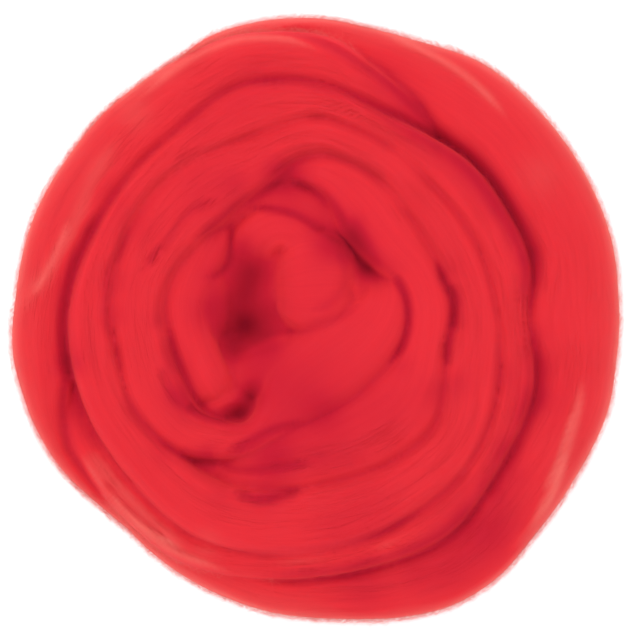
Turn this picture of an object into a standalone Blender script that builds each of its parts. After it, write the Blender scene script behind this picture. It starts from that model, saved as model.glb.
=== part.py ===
"""A nest of wool roving: one long sliver of combed wool, wound by hand into a flat round coil.

The sliver starts at the small knob in the middle, winds outwards clockwise as seen from above, and
ends tucked under its own rim. The nest lies on its underside, centred on the origin, +Z up.

The visible turns are given in short tables, in millimetres. A turn that goes round the middle has a
row for each bearing (degrees, 0 at +X and 90 at +Y) with the radius of its inner and outer edge. A
turn that crosses near the middle has a row for each place that it passes, with its width there.
Every row also gives the height of the turn's crest above the floor.
"""

import math
from collections import namedtuple

import bmesh
import bpy
from mathutils import Vector

MM = 0.001

# Driving sizes, in millimetres.
TURN_DEPTH = 19.0
WIDE_TURN_DEPTH = 23.0
EDGE_PRESS = 1.1
BASE_RADIUS = 109.5
BASE_CREST = 19.0
BASE_TURN_DEPTH = 21.0
BASE_PITCH = 19.0
BASE_TURNS = 5
BASE_START = 150.0
WAVER_HEIGHT = 1.5
WAVERS_PER_TURN = 3
PLACES_PER_TURN = 12
END_TAPER = 0.35
FLAT_HEIGHT = 1.4

# The cross-section: 2 is an ellipse, and more is squarer.
SECTION_POWER = 2.4
SECTION_SIDES = 20
STEP_ALONG = 4.0

# How finely the fused solid is meshed.
VOXEL = 2.0
SMOOTH_PASSES = 3
TRIANGLES = 9500
MERGE_DISTANCE = 0.1

WOOL_RED = (0.72, 0.022, 0.035, 1.0)
WOOL_ROUGHNESS = 0.9

Turn = namedtuple("Turn", "bearing inner outer crest")
Place = namedtuple("Place", "x y width crest")
Bed = namedtuple("Bed", "radius height")

# The sliver's inner end: a broad lump that rises beside the knob and runs down to the lower left.
INNER_LUMP = (
    Place(x=14, y=25, width=9, crest=20),
    Place(x=21, y=19, width=12, crest=30),
    Place(x=26, y=9, width=17, crest=38),
    Place(x=21, y=-4, width=26, crest=41),
    Place(x=10, y=-15, width=33, crest=42),
    Place(x=-3, y=-26, width=30, crest=42),
    Place(x=-17, y=-36, width=20, crest=42),
    Place(x=-32, y=-44, width=14, crest=43),
)

# From the lump round the left, the top and the right.
FIRST_TURN = (
    Turn(bearing=220, inner=56, outer=74, crest=44),
    Turn(bearing=200, inner=57, outer=78, crest=45),
    Turn(bearing=180, inner=58, outer=79, crest=45),
    Turn(bearing=160, inner=58, outer=79, crest=45),
    Turn(bearing=140, inner=55, outer=79, crest=45),
    Turn(bearing=125, inner=52, outer=76, crest=45),
    Turn(bearing=110, inner=56, outer=74, crest=45),
    Turn(bearing=95, inner=61, outer=76, crest=44),
    Turn(bearing=80, inner=61, outer=74, crest=44),
    Turn(bearing=60, inner=56, outer=69, crest=44),
    Turn(bearing=40, inner=51, outer=66, crest=43),
    Turn(bearing=20, inner=49, outer=65, crest=43),
    Turn(bearing=0, inner=50, outer=67, crest=43),
)

# Along the bottom, over the fan of inner turns at the lower left, and up the left side.
SECOND_TURN = (
    Turn(bearing=-20, inner=51, outer=72, crest=43),
    Turn(bearing=-40, inner=58, outer=77, crest=42),
    Turn(bearing=-60, inner=60, outer=80, crest=42),
    Turn(bearing=-80, inner=62, outer=84, crest=42),
    Turn(bearing=-100, inner=67, outer=89, crest=43),
    Turn(bearing=-120, inner=73, outer=94, crest=44),
    Turn(bearing=-140, inner=76, outer=95, crest=45),
    Turn(bearing=-160, inner=78, outer=95, crest=46),
    Turn(bearing=-180, inner=79, outer=96, crest=46),
    Turn(bearing=-200, inner=79, outer=92, crest=46),
    Turn(bearing=-220, inner=78, outer=89, crest=46),
    Turn(bearing=-240, inner=75, outer=90, crest=46),
)

# Over the top, down the right and along the bottom, where it is pressed thin.
THIRD_TURN = (
    Turn(bearing=-255, inner=75, outer=93, crest=46),
    Turn(bearing=-270, inner=75, outer=90, crest=45),
    Turn(bearing=-285, inner=72, outer=83, crest=44),
    Turn(bearing=-300, inner=68, outer=81, crest=44),
    Turn(bearing=-330, inner=66, outer=83, crest=43),
    Turn(bearing=-345, inner=66, outer=82, crest=42),
    Turn(bearing=-360, inner=68, outer=80, crest=41),
    Turn(bearing=-380, inner=73, outer=87, crest=41),
    Turn(bearing=-400, inner=78, outer=89, crest=40),
    Turn(bearing=-420, inner=81, outer=95, crest=39),
    Turn(bearing=-440, inner=85, outer=97, crest=38),
    Turn(bearing=-460, inner=90, outer=99, crest=37),
    Turn(bearing=-480, inner=94, outer=102, crest=36),
)

# Out over the rim on the left, round the top left, and down under the wide turn.
OUTER_TURN = (
    Turn(bearing=-500, inner=95, outer=107, crest=36),
    Turn(bearing=-520, inner=95, outer=113, crest=38),
    Turn(bearing=-540, inner=95, outer=114, crest=40),
    Turn(bearing=-560, inner=92, outer=113, crest=42),
    Turn(bearing=-580, inner=89, outer=113, crest=43),
    Turn(bearing=-600, inner=90, outer=112, crest=44),
    Turn(bearing=-615, inner=93, outer=110, crest=44),
    Turn(bearing=-630, inner=90, outer=106, crest=43),
    Turn(bearing=-645, inner=83, outer=96, crest=41),
    Turn(bearing=-660, inner=78, outer=89, crest=34),
    Turn(bearing=-675, inner=76, outer=87, crest=26),
)

# The wide outer turn: hidden below the rim at the left, on top from the upper right to the bottom.
WIDE_TURN = (
    Turn(bearing=215, inner=86, outer=108, crest=24),
    Turn(bearing=180, inner=90, outer=113, crest=27),
    Turn(bearing=145, inner=90, outer=112, crest=28),
    Turn(bearing=115, inner=92, outer=113, crest=30),
    Turn(bearing=95, inner=93, outer=114, crest=31),
    Turn(bearing=80, inner=90, outer=111, crest=34),
    Turn(bearing=60, inner=83, outer=111, crest=37),
    Turn(bearing=30, inner=83, outer=113, crest=38),
    Turn(bearing=0, inner=80, outer=113, crest=38),
    Turn(bearing=-20, inner=87, outer=113, crest=37),
    Turn(bearing=-45, inner=91, outer=113, crest=36),
    Turn(bearing=-65, inner=95, outer=118, crest=34),
    Turn(bearing=-80, inner=97, outer=116, crest=33),
    Turn(bearing=-100, inner=98, outer=113, crest=32),
    Turn(bearing=-120, inner=97, outer=111, crest=31),
    Turn(bearing=-140, inner=93, outer=109, crest=29),
    Turn(bearing=-160, inner=88, outer=106, crest=26),
)

# A short turn inside the first one: it comes up at the top and is covered again at the lower left.
WEDGE_TURN = (
    Turn(bearing=122, inner=50, outer=58, crest=28),
    Turn(bearing=108, inner=53, outer=60, crest=36),
    Turn(bearing=95, inner=50, outer=62, crest=42),
    Turn(bearing=80, inner=42, outer=61, crest=43),
    Turn(bearing=60, inner=33, outer=56, crest=43),
    Turn(bearing=40, inner=30, outer=51, crest=43),
    Turn(bearing=20, inner=32, outer=49, crest=42),
    Turn(bearing=0, inner=33, outer=50, crest=42),
    Turn(bearing=-20, inner=33, outer=51, crest=42),
    Turn(bearing=-40, inner=31, outer=57, crest=42),
    Turn(bearing=-60, inner=34, outer=60, crest=41),
    Turn(bearing=-80, inner=36, outer=60, crest=41),
    Turn(bearing=-100, inner=40, outer=66, crest=41),
    Turn(bearing=-115, inner=49, outer=71, crest=40),
    Turn(bearing=-130, inner=62, outer=76, crest=34),
    Turn(bearing=-142, inner=68, outer=80, crest=26),
)

# The two short turns that line the hollow in the middle, on the left and along the top.
LEFT_LINING = (
    Place(x=-30, y=42, width=8, crest=28),
    Place(x=-38, y=33, width=11, crest=36),
    Place(x=-45, y=20, width=16, crest=38),
    Place(x=-50, y=7, width=18, crest=39),
    Place(x=-49, y=-5, width=18, crest=39),
    Place(x=-44, y=-17, width=18, crest=39),
    Place(x=-38, y=-28, width=16, crest=37),
    Place(x=-32, y=-36, width=11, crest=28),
)
TOP_LINING = (
    Place(x=14, y=24, width=8, crest=24),
    Place(x=8, y=31, width=10, crest=34),
    Place(x=4, y=37, width=11, crest=38),
    Place(x=-2, y=42, width=11, crest=39),
    Place(x=-11, y=46, width=10, crest=38),
    Place(x=-22, y=47, width=8, crest=34),
)

# Low wool at the foot of the hollow, between the left lining and the broad lump.
HOLLOW_FOOT = (
    Place(x=-36, y=-29, width=10, crest=26),
    Place(x=-28, y=-21, width=15, crest=31),
    Place(x=-20, y=-14, width=15, crest=31),
    Place(x=-10, y=-8, width=15, crest=32),
)

# The sliver's very end: it comes out of the left lining, wraps round the knob and rolls up in it.
KNOB_TAIL = (
    Place(x=-34, y=31, width=14, crest=32),
    Place(x=-30, y=32, width=19, crest=36),
    Place(x=-20, y=34, width=20, crest=38),
    Place(x=-10, y=34, width=14, crest=40),
    Place(x=-1, y=30, width=11, crest=41),
    Place(x=7, y=24, width=9, crest=41),
    Place(x=12, y=16, width=8, crest=41),
    Place(x=13, y=8, width=8, crest=41),
    Place(x=8, y=1, width=8, crest=40),
    Place(x=-2, y=-2, width=8, crest=38),
    Place(x=-12, y=0, width=8, crest=34),
)
KNOB_CENTRE = (-3.0, 15.0)
KNOB_RADIUS = 15.0
KNOB_CREST = 43.0
KNOB_DETAIL = 3

# The packed wool under the visible turns: radius and height of its top from the middle outwards.
BED_PROFILE = (
    Bed(radius=0, height=20),
    Bed(radius=20, height=20),
    Bed(radius=36, height=27),
    Bed(radius=48, height=33),
    Bed(radius=84, height=33),
    Bed(radius=96, height=24),
    Bed(radius=101, height=12),
    Bed(radius=98, height=5),
    Bed(radius=0, height=5),
)
BED_SIDES = 64


def clear_scene():
    for thing in list(bpy.data.objects):
        bpy.data.objects.remove(thing)


def around(turns):
    """The places that a turn given by bearings and radii passes."""
    places = []
    for row in turns:
        radius = (row.inner + row.outer) / 2
        angle = math.radians(row.bearing)
        x = radius * math.cos(angle)
        y = radius * math.sin(angle)
        places.append(Place(x, y, row.outer - row.inner, row.crest))
    return places


def base_places():
    """The lowest layer: an even spiral from near the middle out to the rim, a little wavering."""
    last = BASE_TURNS * PLACES_PER_TURN
    places = []
    for i in range(last + 1):
        angle = math.radians(BASE_START) - 2 * math.pi * i / PLACES_PER_TURN
        turns_inside = max(0.0, (last - i) / PLACES_PER_TURN - 1.0)
        radius = BASE_RADIUS - BASE_PITCH / 2 - BASE_PITCH * turns_inside
        radius += WAVER_HEIGHT * math.sin(WAVERS_PER_TURN * angle)
        x = radius * math.cos(angle)
        y = radius * math.sin(angle)
        places.append(Place(x, y, BASE_PITCH - 2 * EDGE_PRESS, BASE_CREST))
    return places


def between(before, start, end, after, share):
    """Catmull-Rom value between start and end."""
    curve = 2 * start
    curve += (end - before) * share
    curve += (2 * before - 5 * start + 4 * end - after) * share**2
    curve += (3 * start - before - 3 * end + after) * share**3
    return curve / 2


def smooth_route(places):
    """Places every few millimetres on a smooth curve through the given ones."""
    padded = [places[0], *places, places[-1]]
    route = []
    for before, start, end, after in zip(padded, padded[1:], padded[2:], padded[3:]):
        length = math.hypot(end.x - start.x, end.y - start.y)
        steps = max(1, round(length / STEP_ALONG))
        for step in range(steps):
            share = step / steps
            values = (between(*four, share) for four in zip(before, start, end, after))
            route.append(Place(*values))
    route.append(places[-1])
    return route


def section_points(place, side, depth, size):
    """One flattened, rounded cross-section, upright and square to the turn."""
    half_width = (place.width / 2 + EDGE_PRESS) * size
    half_depth = depth / 2 * size
    middle = place.crest - depth / 2
    points = []
    for i in range(SECTION_SIDES):
        angle = 2 * math.pi * i / SECTION_SIDES
        wide = math.cos(angle)
        high = math.sin(angle)
        across_turn = math.copysign(abs(wide) ** (2 / SECTION_POWER), wide) * half_width
        up_turn = math.copysign(abs(high) ** (2 / SECTION_POWER), high) * half_depth
        x = place.x + side[0] * across_turn
        y = place.y + side[1] * across_turn
        z = max(middle + up_turn, 0.0)
        points.append((x * MM, y * MM, z * MM))
    return points


def add_turn(mesh, places, depth):
    """Sweeps the cross-section along a smooth route through the places and closes both ends."""
    route = smooth_route(places)
    rings = []
    last = len(route) - 1
    for i, place in enumerate(route):
        ahead = route[min(i + 1, last)]
        behind = route[max(i - 1, 0)]
        run = math.hypot(ahead.x - behind.x, ahead.y - behind.y)
        side = (-(ahead.y - behind.y) / run, (ahead.x - behind.x) / run)
        size = END_TAPER if i in (0, last) else 1.0
        points = section_points(place, side, depth, size)
        rings.append([mesh.verts.new(point) for point in points])
    for ring, following in zip(rings, rings[1:]):
        for i in range(SECTION_SIDES):
            j = (i + 1) % SECTION_SIDES
            mesh.faces.new((ring[i], following[i], following[j], ring[j]))
    mesh.faces.new(rings[0])
    mesh.faces.new(reversed(rings[-1]))


def add_knob(mesh):
    """The small round ball into which the inner end is rolled, a little flattened."""
    made = bmesh.ops.create_icosphere(mesh, subdivisions=KNOB_DETAIL, radius=KNOB_RADIUS * MM)
    centre = Vector((*KNOB_CENTRE, KNOB_CREST - KNOB_RADIUS)) * MM
    bmesh.ops.translate(mesh, verts=made["verts"], vec=centre)


def turned_bed():
    """The packed wool under the visible turns, as a turned body in a mesh of its own."""
    mesh = bmesh.new()
    outline = [mesh.verts.new((row.radius * MM, 0, row.height * MM)) for row in BED_PROFILE]
    edges = [mesh.edges.new(pair) for pair in zip(outline, outline[1:])]
    bmesh.ops.spin(
        mesh,
        geom=outline + edges,
        cent=(0, 0, 0),
        axis=(0, 0, 1),
        angle=2 * math.pi,
        steps=BED_SIDES,
        use_merge=True,
    )
    bmesh.ops.remove_doubles(mesh, verts=mesh.verts, dist=MERGE_DISTANCE * MM)
    return mesh


def wool_material():
    material = bpy.data.materials.new("red_wool")
    material.use_nodes = True
    shader = material.node_tree.nodes["Principled BSDF"]
    shader.inputs["Base Color"].default_value = WOOL_RED
    shader.inputs["Roughness"].default_value = WOOL_ROUGHNESS
    shader.inputs["Metallic"].default_value = 0.0
    return material


def wound_mesh():
    """All the turns, overlapping, before they are fused."""
    mesh = turned_bed()
    main_turns = around(FIRST_TURN + SECOND_TURN + THIRD_TURN + OUTER_TURN)
    add_turn(mesh, [*INNER_LUMP, *main_turns], TURN_DEPTH)
    add_turn(mesh, around(WEDGE_TURN), TURN_DEPTH)
    for short_turn in (LEFT_LINING, TOP_LINING, HOLLOW_FOOT, KNOB_TAIL):
        add_turn(mesh, short_turn, TURN_DEPTH)
    add_turn(mesh, around(WIDE_TURN), WIDE_TURN_DEPTH)
    add_turn(mesh, base_places(), BASE_TURN_DEPTH)
    add_knob(mesh)
    bmesh.ops.recalc_face_normals(mesh, faces=mesh.faces)
    return mesh


def evaluated_copy(thing, name):
    """The mesh that the object's modifiers make."""
    graph = bpy.context.evaluated_depsgraph_get()
    made = bpy.data.meshes.new_from_object(thing.evaluated_get(graph))
    made.name = name
    return made


def fused(thing):
    """Fuses the overlapping turns into one skin, then thins it to the wanted number of triangles."""
    fuse = thing.modifiers.new("Fuse", "REMESH")
    fuse.mode = "VOXEL"
    fuse.voxel_size = VOXEL * MM
    soften = thing.modifiers.new("Soften", "SMOOTH")
    soften.iterations = SMOOTH_PASSES
    thing.data = evaluated_copy(thing, "fused")
    thing.modifiers.clear()
    thin = thing.modifiers.new("Thin", "DECIMATE")
    thin.ratio = TRIANGLES / (2 * len(thing.data.polygons))
    thing.data = evaluated_copy(thing, "thinned")
    thing.modifiers.clear()


def set_down(thing):
    """Centres the nest over the origin and presses its lowest wool flat on the floor."""
    points = [vertex.co for vertex in thing.data.vertices]
    middle_x = (min(point.x for point in points) + max(point.x for point in points)) / 2
    middle_y = (min(point.y for point in points) + max(point.y for point in points)) / 2
    for point in points:
        point.x -= middle_x
        point.y -= middle_y
        if point.z < FLAT_HEIGHT * MM:
            point.z = 0.0


def build_nest():
    mesh = wound_mesh()
    data = bpy.data.meshes.new("roving_nest")
    mesh.to_mesh(data)
    mesh.free()
    nest = bpy.data.objects.new("roving_nest", data)
    bpy.context.scene.collection.objects.link(nest)
    fused(nest)
    set_down(nest)
    nest.data.materials.append(wool_material())
    nest.data.shade_smooth()
    return nest


clear_scene()
build_nest()
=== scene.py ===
import math
from collections import namedtuple

import bpy
import bmesh
import numpy as np
from mathutils.bvhtree import BVHTree
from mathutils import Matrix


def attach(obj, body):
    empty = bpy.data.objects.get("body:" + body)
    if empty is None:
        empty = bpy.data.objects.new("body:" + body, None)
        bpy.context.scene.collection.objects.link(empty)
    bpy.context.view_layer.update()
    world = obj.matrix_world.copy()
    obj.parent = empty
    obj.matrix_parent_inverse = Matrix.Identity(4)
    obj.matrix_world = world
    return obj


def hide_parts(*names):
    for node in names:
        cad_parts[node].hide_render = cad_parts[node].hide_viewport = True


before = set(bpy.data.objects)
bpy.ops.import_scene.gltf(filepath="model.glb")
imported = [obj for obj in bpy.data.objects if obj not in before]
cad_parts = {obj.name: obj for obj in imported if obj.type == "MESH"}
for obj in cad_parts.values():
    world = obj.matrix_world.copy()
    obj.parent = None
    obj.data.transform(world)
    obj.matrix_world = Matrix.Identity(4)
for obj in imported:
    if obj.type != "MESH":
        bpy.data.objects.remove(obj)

bl_info = {
    "name": "Wool roving nest",
    "version": (1, 0, 0),
    "blender": (4, 5, 0),
    "location": "View3D > Sidebar > Wool",
    "description": "Winds a nest of combed wool roving, with its fibres, and lights it",
    "category": "Object",
}

MM = 0.001
NODE = "roving_nest"
BODY = "root"
SKIN = "wound_wool"

Place = namedtuple("Place", "x y width crest")
Spiral = namedtuple("Spiral", "radius crest pitch turns")
Sweep = namedtuple("Sweep", "name seed centre along side run half_width half_depth middle")
Combing = namedtuple("Combing", "turn fibres low high")
Hairs = namedtuple("Hairs", "density length least_radius most_up rise tint")


def table(columns, *rows):
    """The rows of a table, with a name for each column."""
    row_kind = namedtuple("Row", columns)
    return [row_kind(*row) for row in rows]


# The route of the sliver, in millimetres. A turn that goes round the middle has a row for each
# bearing, in degrees, with the radius of its inner and outer edge. A turn that crosses near the
# middle has a row for each place that it passes, with its width there. The crest is the height of
# the turn's top above the floor.
INNER_LUMP = table(
    "x y width crest",
    (18, 22, 8, 26),
    (24, 17, 11, 34),
    (26, 9, 16, 40),
    (23, 0, 21, 42),
    (16, -8, 27, 42),
    (6, -16, 31, 42),
    (-6, -25, 29, 42),
    (-14, -34, 19, 42),
    (-21.5, -42, 11, 43),
    (-31.5, -46, 12, 43),
)
FIRST_TURN = table(
    "bearing inner outer crest",
    (220, 56.5, 74, 44),
    (205, 56.5, 78, 45),
    (190, 57.5, 77, 45),
    (175, 59, 79, 45),
    (160, 57, 79, 45),
    (145, 53.5, 79, 45),
    (130, 51.5, 78.5, 45),
    (115, 53.5, 73.5, 45),
    (100, 59.5, 74.5, 44),
    (90, 61.5, 76.5, 44),
    (80, 60.5, 73.5, 44),
    (65, 57.5, 70, 44),
    (50, 53, 67, 43),
    (35, 50.5, 66, 43),
    (20, 50.5, 66, 43),
    (0, 52.5, 68, 43),
)
SECOND_TURN = table(
    "bearing inner outer crest",
    (-20, 52.5, 72, 43),
    (-40, 60.5, 78, 42),
    (-60, 61.5, 80.5, 42),
    (-80, 62.5, 85.5, 42),
    (-100, 66.5, 89.5, 43),
    (-120, 72.5, 93.5, 44),
    (-140, 75, 92, 45),
    (-160, 78, 93, 46),
    (-180, 78, 93, 46),
    (-200, 79, 89, 46),
    (-220, 78.5, 87, 46),
    (-240, 74.5, 88, 46),
)
THIRD_TURN = table(
    "bearing inner outer crest",
    (-255, 74.5, 91.5, 46),
    (-270, 76.5, 88, 45),
    (-285, 72.5, 81, 44),
    (-300, 69, 79.5, 44),
    (-315, 67, 81, 44),
    (-330, 66, 81, 43),
    (-345, 66, 82, 42),
    (-360, 68, 78.5, 41),
    (-380, 73, 85, 41),
    (-400, 79, 88, 40),
    (-420, 80.5, 95, 39),
    (-440, 85.5, 95.5, 38),
    (-460, 89.5, 99, 37),
    (-480, 94.5, 105, 36),
    (-500, 93, 104.5, 36),
    (-515, 94, 104.5, 35),
    (-530, 95.5, 98.5, 32),
)
OUTER_TURN = table(
    "bearing inner outer crest",
    (-486, 102, 107, 24),
    (-500, 103.5, 108.5, 30),
    (-510, 104.5, 112, 34),
    (-520, 101.5, 114, 37),
    (-530, 94, 115, 39),
    (-540, 93, 114, 40),
    (-560, 89, 113, 42),
    (-580, 87, 111, 43),
    (-595, 88, 110, 44),
    (-605, 89.5, 110, 44),
    (-615, 91.5, 110, 44),
    (-630, 88, 106, 43),
    (-640, 83, 98, 42),
    (-650, 80, 92, 40),
    (-660, 78.5, 87, 36),
    (-670, 80, 85, 30),
)
WIDE_TURN = table(
    "bearing inner outer crest",
    (215, 86, 106.5, 24),
    (180, 90, 112, 27),
    (145, 87, 111, 28),
    (128, 88, 110, 29),
    (118, 90, 111, 30),
    (110, 92, 114, 30),
    (100, 94.5, 114, 31),
    (90, 96, 113, 32),
    (80, 94, 111, 34),
    (70, 89, 111, 36),
    (58, 83, 114, 38),
    (45, 82, 114, 39),
    (30, 81, 114, 39),
    (15, 82, 114, 39),
    (0, 77.5, 113, 39),
    (-10, 82, 113, 38),
    (-20, 85, 114, 38),
    (-35, 87, 114, 37),
    (-48, 91.5, 116, 36),
    (-57, 94.5, 119, 35),
    (-67, 95.5, 119, 34),
    (-80, 96.5, 115, 33),
    (-100, 99, 112, 31),
    (-120, 95.5, 109, 29),
    (-140, 90, 105.5, 27),
    (-160, 86, 103.5, 25),
)
WEDGE_TURN = table(
    "bearing inner outer crest",
    (112, 53.5, 55.5, 34),
    (105, 53.5, 57.5, 38),
    (98, 52.5, 59.5, 41),
    (90, 49.5, 61.5, 43),
    (82, 45, 60.5, 43),
    (74, 38, 59.5, 43),
    (65, 32, 57.5, 43),
    (55, 30, 53.5, 43),
    (42, 30, 51, 43),
    (28, 33, 50.5, 42),
    (14, 34, 51.5, 42),
    (0, 34, 52.5, 42),
    (-14, 34, 51.5, 42),
    (-30, 33, 56.5, 42),
    (-45, 32, 60.5, 42),
    (-60, 32, 61.5, 41),
    (-75, 34, 61.5, 41),
    (-90, 38, 62.5, 41),
    (-102, 42, 66.5, 41),
    (-114, 50, 70.5, 40),
    (-125, 62, 74, 36),
    (-134, 68, 75, 28),
)
LEFT_LINING = table(
    "x y width crest",
    (-31, 41, 8, 33),
    (-38, 35, 13, 37),
    (-43, 27, 16, 39),
    (-48, 17, 17, 40),
    (-51, 7, 16, 41),
    (-50, -3, 15, 41),
    (-47, -13, 15, 41),
    (-43, -22, 15, 41),
    (-39, -29, 14, 40),
    (-37, -33, 11, 35),
)
TOP_LINING = table(
    "x y width crest",
    (21, 16, 5, 33),
    (17.5, 21.5, 7, 36),
    (13, 27.5, 7, 37),
    (9, 32, 8, 37.5),
    (4, 38, 11, 38),
    (-2, 42, 13, 39),
    (-10, 45, 13, 40),
    (-18, 45, 11, 39),
    (-27, 43, 8, 37),
    (-35, 40, 5, 32),
)
HOLLOW_FOOT = table(
    "x y width crest",
    (-36, -26, 14, 33),
    (-30, -24, 18, 36),
    (-22, -21, 21, 38),
    (-12, -18, 22, 40),
    (0, -13, 18, 40),
)
KNOB_TAIL = table(
    "x y width crest",
    (-27, 12, 12, 32),
    (-26, 21, 15, 35),
    (-24, 29, 16, 39),
    (-18, 34, 15, 41),
    (-10, 34, 14, 41),
    (-3, 29, 14, 40),
    (3, 22, 12, 37),
)
KNOB = table(
    "x y width crest",
    (-18, 13, 18, 35),
    (-14, 13, 28, 40),
    (-8, 13, 34, 43),
    (0, 14, 37, 44),
    (8, 14, 33, 43),
    (15, 13, 22, 40),
)

# The wool that fills the corners between the inner turns.
HOLLOW_SIDE = table(
    "x y width crest",
    (-40, 24, 10, 37),
    (-42, 12, 13, 38),
    (-42, 0, 13, 38),
    (-40, -12, 10, 37),
)
FILLING = table(
    "x y width crest",
    (18, 52, 10, 37),
    (0, 56, 12, 40),
    (-14, 53, 12, 40),
    (-28, 46, 12, 39),
    (-50, 30, 12, 38),
    (-60, 0, 12, 39),
    (-56, -25, 12, 39),
    (-44, -42, 14, 38),
    (-38, -36, 14, 38),
    (-28, -35, 14, 37),
    (-30, -48, 12, 38),
    (-42, -53, 14, 39),
    (-50, -60, 10, 38),
)

# The wool that fills the hollows under and beside the knob.
CORE_BED = table(
    "x y width crest",
    (-44, 4, 70, 35),
    (-30, 4, 94, 35),
    (-10, 4, 100, 35),
    (10, 4, 94, 36),
    (28, 4, 70, 36),
)

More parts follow.
